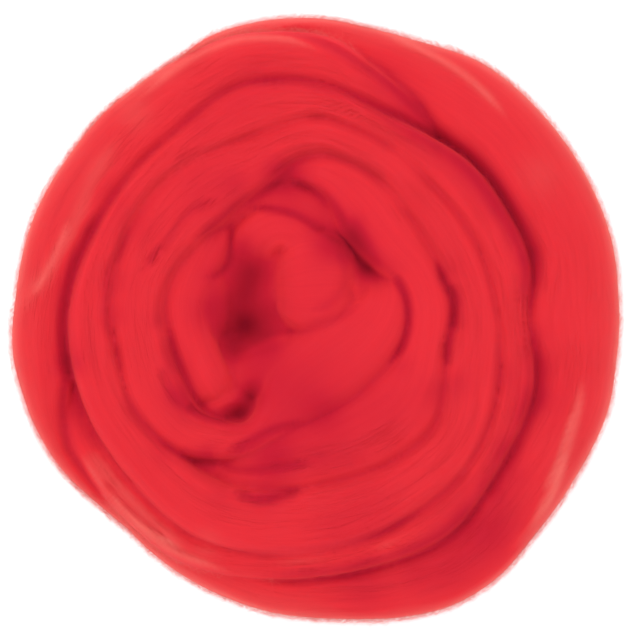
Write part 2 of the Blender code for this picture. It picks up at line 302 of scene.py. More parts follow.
# Creases, splits and lifted edges that cross the turns: how high each stands (or how deep it lies
# when negative) and how wide it is, in millimetres, and how much painted light (above 0) or painted
# shade (below 0) its wool gets. The path of one that goes round the nest is given by bearings in
# degrees and radii in millimetres.
ROUND_CREASES = table(
    "rise width tint path",
    # Between the outer turns and those inside them.
    (-1.9, 4, -0.5, (
        (355, 79.2), (365, 79.8), (370, 81.6), (376, 83.4), (380, 83.4), (390, 82.7), (400, 82.8),
        (411, 82.6), (419, 81.8), (428, 80.8),
    )),
    (-1.1, 2.8, -0.28, (
        (60, 81.4), (66, 81.2), (72, 81.9), (79, 84), (85, 86.3), (90, 88), (95, 89.8), (100, 90.8),
        (107, 92.4),
    )),
    (-0.5, 1.9, -0.13, (
        (96, 90), (102, 91.4), (107, 92.6), (112, 93), (118, 91.3), (124, 89.6), (136, 89), (142, 89.6),
        (150, 90.4), (158, 92),
    )),
    (-1.2, 3, -0.38, (
        (149, 90), (156, 91.2), (162, 92.7), (168, 94.4), (175, 95.6), (182, 96.2), (190, 96.5),
        (198, 97),
    )),
    (-1.2, 1.9, -0.28, (
        (190, 96), (195, 99.4), (200, 102.9), (205, 105.4), (210, 106.5), (224, 105.9),
    )),
    (0.1, 2.6, 0, (
        (188, 96.4), (200, 94.9), (206, 94.2), (213, 93.9), (220, 93.9), (226, 95.2), (232, 96.9),
    )),
    (-1, 3.3, -0.32, (
        (255, 100.5), (263, 98.6), (270, 97.1), (276, 96.6), (283, 95), (290, 94.9), (298, 95.2),
        (304, 94.3), (311, 91.8), (318, 89.6),
    )),
    (-1, 4, -0.28, (
        (310, 92.6), (318, 89.6), (330, 87.7), (342, 86.1), (348, 84), (354, 81), (360, 79.6),
    )),
    (-1.3, 2.8, -0.3, (
        (54, 83.6), (64, 88), (75, 94.5), (80, 97.4), (85, 101.4), (90, 105.9), (95, 108.9),
        (102, 110.9),
    )),
    # Between the turns of the ring.
    (-0.4, 1.6, -0.09, (
        (350, 70), (360, 67.4), (380, 65.5), (392, 65.5), (405, 66), (415, 67.1), (423, 69.3),
    )),
    (-0.6, 1.9, -0.1, ((63, 69.3), (70, 70.8), (76, 72.4), (82, 73.9), (88, 75.8), (96, 76.2))),
    (-0.4, 2, -0.05, ((104, 74.5), (112, 74), (118, 74.5), (124, 76.3), (129, 78.6), (136, 79.4))),
    (-0.7, 1.9, -0.16, (
        (150, 79.8), (160, 79), (167, 80.6), (174, 80.3), (181, 79.6), (187, 77.6), (200, 77.3),
    )),
    (-0.9, 2.2, -0.23, (
        (196, 77.1), (205, 78.2), (217, 75.6), (228, 71), (235, 65.3), (241, 57.2), (248, 48.3),
    )),
    (0, 3.4, -0.2, ((223, 72.8), (227, 71.2), (231, 68.5), (235, 64.9))),
    (-0.7, 1.9, -0.16, (
        (246, 94.3), (254, 91.6), (262, 88.8), (269, 86.9), (275, 86.1), (286, 84.1), (294, 82.8),
        (302, 81.8),
    )),
    (-0.5, 2, -0.12, (
        (276, 86), (286, 84.2), (294, 82.8), (300, 82.2), (306, 81.4), (312, 80.7), (319, 80),
    )),
    (-0.6, 1.8, -0.14, (
        (312, 80.2), (318, 78.4), (325, 76.2), (331, 74.9), (337, 73), (344, 71.1), (358, 67.7),
    )),
    # Between the ring and the middle.
    (-1.1, 1.9, -0.34, (
        (334, 52), (341, 51), (349, 50), (355, 50.2), (362, 51.2), (368.6, 51.7), (376, 50),
        (382, 49.6), (389, 49.8),
    )),
    (-0.4, 2.8, -0.2, ((354, 51.6), (362, 52.2), (369, 52.4), (376, 51))),
    (-0.2, 1.9, -0.05, ((376, 50.2), (388, 50.7), (396, 51.8), (404, 52.1), (410, 51.5), (417, 50.5))),
    (-0.4, 1.9, -0.08, (
        (284, 59), (294, 61.2), (302, 61.1), (310, 60.7), (317, 59.5), (324, 56.5), (331, 53.5),
        (338, 51.6), (345, 50.6),
    )),
    (-0.6, 2.2, -0.12, (
        (58, 55.9), (66, 57.3), (72, 59.1), (78, 60.5), (85, 61.5), (92, 61.1), (99, 59.7), (110, 55.6),
    )),
    (-0.2, 2.2, -0.1, (
        (88, 48.6), (95, 50.4), (100, 52.3), (105, 53.2), (111, 51.8), (130, 51.2), (148, 53),
    )),
    (-0.8, 1.9, -0.12, ((128, 58.5), (136, 61.3), (143, 63.2), (156, 64.6), (161, 66.4), (167, 68.9))),
    (-0.6, 1.9, -0.1, (
        (144, 52.8), (152, 54.8), (158, 56.8), (165, 58.2), (172, 58.9), (180, 59.1), (189, 58.3),
    )),
    (-1.3, 2.7, -0.32, (
        (180, 56.8), (190, 56.6), (197, 56.1), (204, 55.5), (211, 56.2), (219, 56.1), (225, 54),
        (231, 50),
    )),
    (-0.6, 2, -0.12, ((196, 61.5), (204, 62.1), (210, 61.5), (215, 59.3), (219, 57))),
    (-0.8, 2, -0.14, ((233, 67.3), (241, 65), (247, 62.4), (253, 59.2), (260, 56.6), (270, 54))),
    (-1.1, 2.2, -0.27, ((243, 72.9), (250, 72.1), (255, 70.2), (259, 68), (266, 64.5))),
    # Lifted edges of the outer turns, with painted light along them.
    (0.4, 1.8, 0.26, (
        (88, 100), (95, 105.4), (101, 108.2), (107, 109.8), (115, 109.6), (122, 108.3), (131, 107),
    )),
    (0.4, 1.5, 0.26, ((78, 110.7), (72, 109.7), (66, 108.7), (60, 107.7), (54, 106.2), (46, 104.2))),
    (0.4, 1.9, 0.24, (
        (314, 113.7), (322, 111.2), (327, 108.7), (333, 106.2), (340, 104.2), (348, 102.8),
    )),
    (0.2, 2.1, 0.15, ((308, 113.5), (315, 113), (322, 110.8), (328, 108.3), (333, 106.3))),
    (0.3, 1.1, 0.2, ((322, 107.5), (328, 105.8), (334, 103.8), (341, 102.4))),
    (0.3, 3.2, 0.12, (
        (136, 102), (146, 100), (154, 98.6), (162, 99), (170, 103), (175, 109), (181, 113),
    )),
    (0.4, 1.2, 0.16, ((158, 101), (165, 101.5), (171, 104.5), (176, 108.5))),
    (0.4, 1.6, 0.26, (
        (208, 103.7), (220, 104.7), (226, 105), (234, 104.4), (241, 103.2), (252, 101.7),
    )),
    (0.3, 1.0, 0.24, ((219, 102.6), (226, 103.2), (233, 102.6), (240, 101))),
    # Broad, soft painted light and shade, with no rise.
    (0, 3.5, 0.07, ((258, 94), (266, 92.5), (275, 91), (288, 89.8), (300, 89.2))),
    (0, 4, 0.14, ((205, 99.5), (212, 98.8), (218, 98.7), (226, 99.2), (234, 100.5), (242, 101.5))),
    (0, 5, -0.2, ((374, 79), (386, 79.1), (396, 79), (408, 78.4), (418, 78.6), (428, 80), (436, 83))),
    # Thin, short splits.
    (-0.5, 1.3, -0.07, ((216, 101), (224, 101), (236, 101.4))),
    (-0.2, 1.3, -0.05, ((216, 95.8), (223, 94.8), (231, 95.8))),
    (-0.3, 1.2, -0.06, ((153, 79.5), (158, 79.2), (162, 78.6), (166, 79))),
    (-0.4, 1.2, -0.09, ((154, 65.5), (158, 66.5), (162, 67.6))),
)

# The path of one near the middle is given by its places, in millimetres.
CORE_CREASES = table(
    "rise width tint path",
    (-0.7, 1.6, -0.2, ((-33, 38), (-33, 30), (-33, 25), (-34, 21), (-38, 17), (-44, 15))),
    (-1.0, 1.8, -0.35, (
        (-28, 42), (-20, 41.5), (-13, 40.5), (-7, 38.5), (-1, 35), (3, 32), (7, 29.5), (12, 26),
    )),
    (-0.8, 2.0, -0.3, ((-48, 28), (-43, 32), (-37, 37), (-30, 43), (-24, 46.5), (-18, 50), (-11, 52))),
    (-0.8, 2.2, -0.35, ((-12, 52), (-7, 51), (0, 48), (5, 43.5), (8, 39), (10.5, 33))),
    (-1.1, 1.8, -0.45, (
        (26, 18), (29, 15.7), (31.3, 12.5), (33.5, 7), (34.3, 0), (33.2, -7), (31, -12), (26, -18),
    )),
    (-0.3, 2.4, -0.07, (
        (28, -16), (22, -23), (15, -29), (8, -33), (0, -37.5), (-8, -40.5), (-21, -47),
    )),
    (-0.6, 1.7, -0.22, (
        (-36, -49.8), (-30, -48), (-24, -45.3), (-18, -42.3), (-11, -40.3), (-3, -38.8),
    )),
    (-0.4, 1.8, -0.2, ((-50, -32), (-46, -35.5), (-42, -37), (-37, -38), (-32, -38.5))),
    (-0.4, 2.0, -0.12, ((5, 27), (9.5, 21), (10.5, 14), (8, 9), (3, 5), (-4, 3))),
    (-0.4, 2.2, -0.12, ((18, 7), (13, 3), (6, 0), (-1, -2.5), (-8, -5), (-15, -6))),
    (0.3, 1.6, 0.12, ((12, 15), (14.5, 10), (15, 5))),
)

# Soft round hollows with painted shade in them, and places that only get painted shade (below 0) or
# painted light (above 0).
HOLLOWS = table(
    "x y radius rise tint",
    (-28, -3, 6, -6, -0.5),
    (-32, -11, 5.5, -3, -0.42),
    (-28, 6, 8, -5, -0.31),
    (-25, 17, 7, -3, -0.5),
    (-39, 3, 8, -1, -0.34),
    (-20, -7, 7, -1, -0.42),
    (-19, 2, 6, -1, -0.25),
    (-50, -34, 6, 0, -0.15),
    (-43, -53, 5.5, 0, -0.32),
    (10, -53, 10, 0, -0.12),
    (-29.5, -36, 4.2, -2.5, -0.5),
    (-34, -37.5, 4, -2, -0.3),
    (-25.5, -31, 4.5, -2, -0.26),
    (-25, -28, 4, 0, -0.25),
    (19.5, 19.5, 4.5, -1, -0.7),
    (15, 25.5, 5.5, -1, -0.72),
    (11, 30.5, 5.5, -0.5, -0.55),
    (13, 35, 5, 0, -0.2),
    (4, 26, 6, 0, -0.2),
    (-14, 53.5, 7, 0, -0.4),
    (-8, 57, 7, 0, -0.12),
    (-24, -21, 10, -0.5, -0.15),
    (-8, 45, 8, 0, -0.12),
    (3, 41, 7, 0, -0.1),
    (-33, 25, 8, 0, -0.15),
    (-8, 5, 45, 0, -0.1),
    (-17, -53, 12, 0, -0.3),
    (2, -36, 9, 0, -0.2),
    (64, -80, 15, 0, -0.3),
    (-10, -29, 18, 0, -0.16),
    (24, -34, 15, 0, -0.12),
    (48, -95, 12, 0, -0.18),
    (81.5, -6, 5, 0, -0.16),
    (-22, 90, 6, 0, -0.13),
    (-78, 46, 6, 0, -0.12),
    (53, -24, 5, 0, -0.12),
    (36, -97, 7, 0, -0.12),
    (27, 18, 4, 0, -0.14),
    (-96, -20, 6, 0, -0.14),
    (-76, 14, 6, 0, -0.11),
    (49, 18, 5, 0, -0.12),
    (82, -30, 5, 0, -0.11),
    (-58, -51, 5, 0, -0.11),
    (-36, -66, 6, 0, -0.1),
    (-46, 74, 6, 0, -0.1),
    (35, 80, 6, 0, -0.11),
    (68, -66, 5, 0, -0.12),
    (5, -80, 9, 0, -0.08),
    (-20, -67, 6, 0, -0.12),
    (0, -53, 5, 0, -0.1),
    (71, -22, 6, 0, -0.1),
    (-55, -17, 5, 0, -0.1),
    (-34, 18, 5, 0, -0.1),
    (-14.5, 26, 3.5, 0, 0.1),
    (-46, -49, 5, 0, 0.09),
    (51, 67, 5, 0, 0.1),
    (-11, 60, 5, 0, 0.09),
    (26, -89, 5, 0, 0.1),
    (-42, -85, 5, 0, 0.09),
    (82, 11, 4, 0, 0.1),
    (69, 34, 5, 0, 0.08),
    (-90, 29, 5, 0, 0.07),
    (-69, 77, 6, 0, 0.08),
    (84, 54, 8, 0, 0.06),
    (-41, 16, 5, 0, -0.14),
    (-29, 27, 5, 0, -0.14),
    (31, -17, 5, 0, -0.12),
    (-60, -1, 4, 0, -0.12),
    (78.5, 23, 4, 0, -0.15),
    (75, -60, 5, 0, -0.12),
    (77, -36, 5, 0, -0.12),
    (85, -18, 5, 0, -0.14),
    (71, -50, 6, 0, -0.18),
    (63, -63, 4, 0, -0.08),
    (-36, -5, 4, -1.5, -0.25),
    (-27, 10, 5, -1, -0.08),
    (-93, -18, 4, 0, -0.2),
    (-76, 1, 5, 0, -0.12),
    (-54, -28, 5, 0, -0.2),
    (-31, 51, 6, 0, -0.14),
    (0, 31, 5, 0, -0.14),
    (38, 72, 5, 0, -0.18),
    (31, 82, 7, 0, -0.08),
    (-92, -36, 7, 0, -0.12),
    (-86, -46, 6, 0, -0.12),
    (18, -102, 11, 0, -0.18),
    (84, -30, 7, 0, -0.16),
    (25, 90, 8, 0, -0.12),
    (-93, -13, 7, 0, -0.1),
    (-32, 83, 9, 0, -0.1),
    (-42, 47, 12, 0, -0.1),
    (20, -74, 13, 0, -0.1),
    (45, -28, 7, 0, -0.12),
    (-69, 34, 8, 0, -0.1),
)

# A crease's path is followed in steps of this many millimetres. At each end it fades out over this
# share of its length, and narrows to this share of its width. It is felt this many widths away.
CREASE_STEP = 1.5
CREASE_TAPER = 0.2
CREASE_POINT = 0.45
CREASE_REACH = 3

# The middle is softer than the turns round it: out to this radius, and less and less beyond it.
CORE_RADIUS = 38 * MM
CORE_FADE = 12 * MM
CORE_SOFTENING = 0.5
CORE_SOFTENING_PASSES = 10

# A turn is swept in steps of this many millimetres, with this many points round its section. Its
# ends shrink to this share of its size.
SWEEP_STEP = 2.5
SWEEP_SIDES = 48
END_TAPER = 0.35

# The swept turns are joined under one skin, and the joints are softened. Below this height only
# this share of the faces stays, and points that almost reach the floor rest on it.
JOINT_SOFTENING = 0.5
JOINT_SOFTENING_PASSES = 3
UNDERSIDE_HEIGHT = 12 * MM
UNDERSIDE_SHARE = 0.12
RESTING_HEIGHT = 0.35 * MM

# Each turn has its own island in the map of runs and girths, this far from the next. A face's place
# along its turn is looked for this many rings to either side.
ISLAND = 2.0
RING_SEARCH = 4

# Painted shade: wool is painted deeper in colour where it lies below the mean height round it, most of
# all this deep, unless it faces further down than this. The heights are kept in square cells, and
# averaged over this many cells to either side, this many times.
SHADED_DEPTH = 10 * MM
DEPTH_PAINTED_SHADE = 0.8
DEPTH_POWER = 1.5
HEIGHT_CELL = 1.5 * MM
HEIGHT_SPREAD = 3
HEIGHT_PASSES = 3
HEIGHT_MARGIN = 4 * HEIGHT_SPREAD
LEAST_SHADED_UP = -0.2

# The flank is open to the light and isn't shaded like this: the rim as far in as the first distance,
# and as far in as the second where the wool is lower than the height. The shade sets in gradually.
FLANK_START = 5 * MM
FLANK_REACH = 22 * MM
FLANK_HEIGHT = 15 * MM
FLANK_FADE = 6 * MM

# Painted light at the rim, for thin wool that lets light through: a pale line painted along the
# outline that fades within a millimetre or two, and a faint painted glow further in. Both are stronger
# on faces that face up, and the outline is measured at this many bearings.
RIM_PAINTED_LIGHT = 0.45
RIM_FADE = 1.3 * MM
RIM_PAINTED_GLOW = 0.1
RIM_GLOW = 6 * MM
RIM_LEAST = 0.25
RIM_SLOPE = 3.0
RIM_BEARINGS = 180

# The hidden layers: even spirals, the lowest one out to the rim and a higher one nearer the middle.
# They start at this bearing, and their radius wavers by this many millimetres, this many times in
# each turn.
LOWEST_LAYER = Spiral(radius=109.0, crest=19, pitch=19.0, turns=6)
MIDDLE_LAYER = Spiral(radius=77.0, crest=35, pitch=18.0, turns=2)
SPIRAL_START = 150.0
WAVER_HEIGHT = 1.5
WAVERS_PER_TURN = 3
PLACES_PER_TURN = 12

# The folds that run along a turn, from the main lobes down to its locks of fibre: how many lie round
# it, how high they stand, how far they wander round it and over what length.
FOLDS = table(
    "lobes height wander length",
    (5, 0.35, 1.6, 190),
    (8, 0.20, 2.2, 140),
    (13, 0.10, 2.6, 110),
    (21, 0.05, 3.0, 90),
)

# A fold drifts round its turn in a slow wave with a slower one in it, of this share and pace. It
# grows and shrinks along the turn by this share, and round it by this share. The waves start at
# random places, from this seed and the turn's own.
SLOWER_DRIFT = 0.6
SLOWER_PACE = 0.43
SWELL = 0.3
SWELL_PACE = 0.71
SWING = 0.35
FOLD_SEED = 100


class NestSizes(bpy.types.PropertyGroup):
    """Sizes of the wound sliver and its fibres."""

    turn_depth: bpy.props.FloatProperty(
        name="Turn depth", description="Thickness of a turn", default=0.023, unit="LENGTH"
    )
    wide_turn_depth: bpy.props.FloatProperty(
        name="Wide turn depth", description="Thickness of the wide outer turn", default=0.026,
        unit="LENGTH",
    )
    base_turn_depth: bpy.props.FloatProperty(
        name="Base turn depth", description="Thickness of the lowest turns", default=0.021,
        unit="LENGTH",
    )
    edge_press: bpy.props.FloatProperty(
        name="Edge press", description="How far neighbouring turns press into each other",
        default=0.0015, unit="LENGTH",
    )
    roundness: bpy.props.FloatProperty(
        name="Section power", description="2 is an elliptical section, and more is squarer",
        default=3.2,
    )
    skin_grain: bpy.props.FloatProperty(
        name="Skin grain", description="Size of the faces of the wound wool's skin", default=0.0011,
        unit="LENGTH",
    )
    fibre_length: bpy.props.FloatProperty(
        name="Fibre length", description="Length of the longest combed fibres", default=0.045,
        unit="LENGTH",
    )
    fibre_thickness: bpy.props.FloatProperty(
        name="Fibre thickness", description="Radius of a strand of combed fibres", default=0.00004,
        unit="LENGTH",
    )
    fibre_wander: bpy.props.FloatProperty(
        name="Fibre wander", description="Share of a turn's girth over which a fibre wanders",
        default=0.025,
    )
    flyaway_rise: bpy.props.FloatProperty(
        name="Flyaway rise", description="How far the loose hairs stand off", default=0.0016,
        unit="LENGTH",
    )
    flyaway_thickness: bpy.props.FloatProperty(
        name="Flyaway thickness", description="Radius of a loose hair", default=0.000026, unit="LENGTH"
    )


class NestColours(bpy.types.PropertyGroup):
    """Colours of the wool, of its painted shade and painted light, and of the floor under it."""

    wool: bpy.props.FloatVectorProperty(
        name="Wool", description="Colour of the lit wool", default=(0.71, 0.026, 0.038),
        subtype="COLOR",
    )
    dark_wool: bpy.props.FloatVectorProperty(
        name="Dark wool", description="Colour of the darkest fibres", default=(0.69, 0.024, 0.037),
        subtype="COLOR",
    )
    light_wool: bpy.props.FloatVectorProperty(
        name="Light wool", description="Colour of the lightest fibres", default=(0.73, 0.028, 0.040),
        subtype="COLOR",
    )
    # Painted shade: the colour put down the sides of the creases.
    painted_shade_wool: bpy.props.FloatVectorProperty(
        name="Shade wool", description="Colour down the sides of the creases",
        default=(0.51, 0.009, 0.029), subtype="COLOR",
    )
    # Painted shade: the colour put deep in the creases.
    painted_crease_shade: bpy.props.FloatVectorProperty(
        name="Crease wool", description="Colour deep in the creases", default=(0.23, 0.002, 0.012),
        subtype="COLOR",
    )
    # Painted light: the pale colour put on thin edges, the rim and the fringe hairs, for light coming
    # through them.
    painted_light_wool: bpy.props.FloatVectorProperty(
        name="Edge wool", description="Colour of thin lifted edges, which let light through",
        default=(0.83, 0.27, 0.215), subtype="COLOR",
    )
    floor: bpy.props.FloatVectorProperty(
        name="Floor", description="Colour of the floor", default=(0.80, 0.80, 0.80), subtype="COLOR"
    )


class StudioSettings(bpy.types.PropertyGroup):
    """Light and camera."""

    lamp_power: bpy.props.FloatProperty(
        name="Lamp power", description="Power of the soft lamp overhead", default=3.0, unit="POWER"
    )
    sky_strength: bpy.props.FloatProperty(
        name="Sky strength", description="Strength of the even light all round", default=1.02
    )
    floor_glow: bpy.props.FloatProperty(
        name="Floor glow", description="Light that comes through the floor, as on a light table",
        default=0.6,
    )
    camera_height: bpy.props.FloatProperty(
        name="Camera height", description="Height of the camera over the floor", default=1.6,
        unit="LENGTH",
    )
    view_width: bpy.props.FloatProperty(
        name="View width", description="Width that the camera sees", default=0.2432, unit="LENGTH"
    )


# ---------------------------------------------------------------- routes


def on_plan(bearing, radius):
    """The place in millimetres of a bearing in degrees and a radius."""
    angle = math.radians(bearing)
    return radius * math.cos(angle), radius * math.sin(angle)


def around(turns):
    """The places that a turn given by bearings and radii passes."""
    places = []
    for row in turns:
        x, y = on_plan(row.bearing, (row.inner + row.outer) / 2)
        places.append(Place(x, y, row.outer - row.inner, row.crest))
    return places


def spiral_places(spiral, edge_press):
    """The places of an even spiral, from near the middle out to its last turn."""
    last = spiral.turns * PLACES_PER_TURN
    places = []
    for i in range(last + 1):
        angle = math.radians(SPIRAL_START) - 2 * math.pi * i / PLACES_PER_TURN
        turns_inside = max(0.0, (last - i) / PLACES_PER_TURN - 1.0)
        radius = spiral.radius - spiral.pitch / 2 - spiral.pitch * turns_inside
        radius += WAVER_HEIGHT * math.sin(WAVERS_PER_TURN * angle)
        x = radius * math.cos(angle)
        y = radius * math.sin(angle)
        places.append(Place(x, y, spiral.pitch - 2 * edge_press / MM, spiral.crest))
    return places


def smooth_route(places, step):
    """Rows of x, y, width and crest in metres, every step along a smooth curve through the places."""
    rows = np.array(places, float)
    padded = np.vstack([rows[:1], rows, rows[-1:]])
    route = []
    for before, start, end, after in zip(padded, padded[1:], padded[2:], padded[3:]):
        length = np.hypot(*(end - start)[:2])
        share = np.arange(0, 1, 1 / max(1, round(length / step)))[:, None]
        curve = 2 * start + (end - before) * share
        curve += (2 * before - 5 * start + 4 * end - after) * share**2
        curve += (3 * start - before - 3 * end + after) * share**3
        route.append(curve / 2)
    route.append(rows[-1:])
    return np.vstack(route) * MM


def sweep(name, places, depth, seed):
    """The route and section of one turn, ring by ring, in metres."""
    route = smooth_route(places, SWEEP_STEP)
    centre = route[:, :2]
    along = np.gradient(centre, axis=0)
    along /= np.linalg.norm(along, axis=1, keepdims=True)
    side = np.column_stack([-along[:, 1], along[:, 0]])
    run = np.concatenate([[0], np.cumsum(np.linalg.norm(np.diff(centre, axis=0), axis=1))])
    size = np.clip(np.minimum(run, run[-1] - run) / (depth / 2), 0, 1)
    size = END_TAPER + (1 - END_TAPER) * np.sqrt(1 - (1 - size) ** 2)
    half_width = (route[:, 2] / 2 + bpy.context.scene.nest_sizes.edge_press) * size
    middle = route[:, 3] - depth / 2
    return Sweep(name, seed, centre, along, side, run, half_width, depth / 2 * size, middle)


def nest_sweeps():
    """Every turn of the nest."""
    sizes = bpy.context.scene.nest_sizes
    depths = {"wide_turn": sizes.wide_turn_depth, "base": sizes.base_turn_depth}
    routes = {
        "sliver": [*INNER_LUMP, *around(FIRST_TURN + SECOND_TURN + THIRD_TURN)],
        "outer_turn": around(OUTER_TURN),
        "wide_turn": around(WIDE_TURN),
        "wedge_turn": around(WEDGE_TURN),
        "base": spiral_places(LOWEST_LAYER, sizes.edge_press),
        "middle": spiral_places(MIDDLE_LAYER, sizes.edge_press),
        "filling": FILLING,
        "hollow_side": HOLLOW_SIDE,
        "left_lining": LEFT_LINING,
        "top_lining": TOP_LINING,
        "hollow_foot": HOLLOW_FOOT,
        "core_bed": CORE_BED,
        "knob_tail": KNOB_TAIL,
        "knob": KNOB,
    }
    return [
        sweep(name, places, depths.get(name, sizes.turn_depth), seed)
        for seed, (name, places) in enumerate(routes.items())
    ]


# ---------------------------------------------------------------- wound surface


def ring_points(turn):
    """The rings of points round a turn's section."""
    angle = -math.pi / 2 + 2 * math.pi * np.arange(SWEEP_SIDES) / SWEEP_SIDES
    power = 2 / bpy.context.scene.nest_sizes.roundness
    wide = np.sign(np.cos(angle)) * np.abs(np.cos(angle)) ** power
    high = np.sign(np.sin(angle)) * np.abs(np.sin(angle)) ** power
    across = turn.half_width[:, None] * wide
    points = np.empty((len(turn.run), SWEEP_SIDES, 3))
    points[:, :, :2] = turn.centre[:, None, :] + turn.side[:, None, :] * across[:, :, None]
    points[:, :, 2] = np.maximum(turn.middle[:, None] + turn.half_depth[:, None] * high, 0.0)
    return points


def ring_faces(rings):
    """Quads that join the rings, and the two end caps. Quads come ring by ring."""
    index = np.arange(rings * SWEEP_SIDES).reshape(rings, SWEEP_SIDES)
    following = np.roll(index, -1, axis=1)
    quads = np.stack([index[:-1], index[1:], following[1:], following[:-1]], axis=2).reshape(-1, 4)
    caps = [index[0].tolist(), index[-1, ::-1].tolist()]
    return quads.tolist(), caps


def crossing_turns(sweeps):
    """All the turns as loose tubes: points, faces, and for each face its turn and ring."""
    points = []
    faces = []
    owners = []
    for number, turn in enumerate(sweeps):
        rings = len(turn.run)
        first = sum(map(len, points))
        quads, caps = ring_faces(rings)
        faces += [[first + i for i in face] for face in quads + caps]
        ring = np.repeat(np.arange(rings - 1), SWEEP_SIDES)
        ring = np.append(ring, [0, rings - 1])
        owners.append(np.column_stack([np.full(len(ring), number), ring]))
        points.append(ring_points(turn).reshape(-1, 3))
    return np.vstack(points), faces, np.vstack(owners)


def largest_shell(mesh):
    """Removes every shell but the outer one, which has the most points."""
    work = bmesh.new()
    work.from_mesh(mesh)
    left = set(work.verts)
    shells = []
    while left:
        front = [left.pop()]
        shell = list(front)
        while front:
            near = {edge.other_vert(point) for point in front for edge in point.link_edges} & left
            left -= near
            front = list(near)
            shell += front
        shells.append(shell)
    shells.sort(key=len)
    bmesh.ops.delete(work, geom=[point for shell in shells[:-1] for point in shell], context="VERTS")
    work.to_mesh(mesh)
    work.free()


def fused(points, faces):
    """One closed skin round all the turns, with soft creases between them."""
    sizes = bpy.context.scene.nest_sizes
    mesh = bpy.data.meshes.new(SKIN)
    mesh.from_pydata(points.tolist(), [], faces)
    piece = bpy.data.objects.new(SKIN, mesh)
    bpy.context.scene.collection.objects.link(piece)
    skin = piece.modifiers.new("Skin", "REMESH")
    skin.mode = "VOXEL"
    skin.voxel_size = sizes.skin_grain
    softening = piece.modifiers.new("Soften", "SMOOTH")
    softening.factor = JOINT_SOFTENING
    softening.iterations = JOINT_SOFTENING_PASSES
    settle_modifiers(piece)
    largest_shell(piece.data)
    thin_underside(piece)
    return piece


def settle_modifiers(piece):
    """Makes the piece the mesh that its modifiers give, and removes them."""
    before = piece.data
    graph = bpy.context.evaluated_depsgraph_get()
    piece.data = bpy.data.meshes.new_from_object(piece.evaluated_get(graph))
    piece.modifiers.clear()
    bpy.data.meshes.remove(before)


def thin_underside(piece):
    """Takes faces away low down, where the nest lies on its floor, and makes all faces triangles."""
    points = mesh_points(piece.data)
    low = np.flatnonzero(points[:, 2] < UNDERSIDE_HEIGHT)
    group = piece.vertex_groups.new(name="underside")
    group.add(low.tolist(), 1.0, "REPLACE")
    thinning = piece.modifiers.new("Thin", "DECIMATE")
    thinning.ratio = 1 - (1 - UNDERSIDE_SHARE) * len(low) / len(points)
    thinning.vertex_group = group.name
    piece.modifiers.new("Triangles", "TRIANGULATE")
    settle_modifiers(piece)
    piece.vertex_groups.clear()


def mesh_points(mesh):
    """The places of the mesh's points, a row for each."""
    points = np.empty(len(mesh.vertices) * 3)
    mesh.vertices.foreach_get("co", points)
    return points.reshape(-1, 3)


def mesh_arrays(mesh):
    """Points, their normals, and the corners of the faces, which are all triangles."""
    normals = np.empty(len(mesh.vertices) * 3)
    mesh.vertex_normals.foreach_get("vector", normals)
    corners = np.empty(len(mesh.loops), int)
    mesh.loops.foreach_get("vertex_index", corners)
    return mesh_points(mesh), normals.reshape(-1, 3), corners.reshape(-1, 3)


def nearest_owner(centres, points, faces, owners):
    """The turn and ring whose surface lies nearest to each face centre."""
    tree = BVHTree.FromPolygons(points.tolist(), faces)
    return owners[[tree.find_nearest(centre)[2] for centre in centres.tolist()]]


def run_and_girth(turn, ring, places):
    """Run in metres, and share of the girth counted from the underside, for the corners of the
    faces that a turn owns."""
    last = len(turn.run) - 1
    candidates = np.clip(ring[:, None] + np.arange(-RING_SEARCH, RING_SEARCH + 1), 0, last)
    apart = np.linalg.norm(places[:, :, None, :2] - turn.centre[candidates][:, None], axis=3)
    best = np.take_along_axis(candidates[:, None], apart.argmin(axis=2)[:, :, None], axis=2)[:, :, 0]
    offset = places[:, :, :2] - turn.centre[best]
    run = turn.run[best] + (offset * turn.along[best]).sum(axis=2)
    across = (offset * turn.side[best]).sum(axis=2) / turn.half_width[best]
    up = (places[:, :, 2] - turn.middle[best]) / turn.half_depth[best]
    girth = np.arctan2(up, across) / (2 * math.pi) + 0.25
    girth[:, 0] %= 1.0
    girth[:, 1:] = girth[:, :1] + (girth[:, 1:] - girth[:, :1] + 0.5) % 1.0 - 0.5
    return run, girth


def fold_height(run, girth, seed):
    """Height of the folds of a turn at each run and share of the girth, in metres."""
    random = np.random.default_rng(FOLD_SEED + seed)
    angle = 2 * math.pi * girth
    height = np.zeros(run.shape)
    for fold in FOLDS:
        slow = 2 * math.pi * run / (fold.length * MM)
        offsets = random.uniform(0, 2 * math.pi, 5)
        slower = SLOWER_DRIFT * np.sin(SLOWER_PACE * slow + offsets[1])
        drift = fold.wander * (np.sin(slow + offsets[0]) + slower)
        strength = 1 - SWELL + SWELL * np.sin(SWELL_PACE * slow + offsets[2])
        wave = np.cos(fold.lobes * angle + drift + offsets[3])
        swing = np.cos((fold.lobes // 2) * angle - drift / 2 + offsets[4])
        height += fold.height * MM * strength * wave * (1 - SWING + SWING * swing)
    return height


def crease_route(path):
    """Points every few millimetres along a crease, in metres, and how much of it is there."""
    route = smooth_route([Place(x, y, 0, 0) for x, y in path], CREASE_STEP)[:, :2]
    share = np.linspace(0, 1, len(route))
    ends = np.clip(np.minimum(share, 1 - share) / CREASE_TAPER, 0, 1)
    return route, ends**2 * (3 - 2 * ends)


def all_creases():
    """Every crease, with its path as places in millimetres."""
    creases = list(CORE_CREASES)
    for crease in ROUND_CREASES:
        creases.append(crease._replace(path=[on_plan(*step) for step in crease.path]))
    return creases


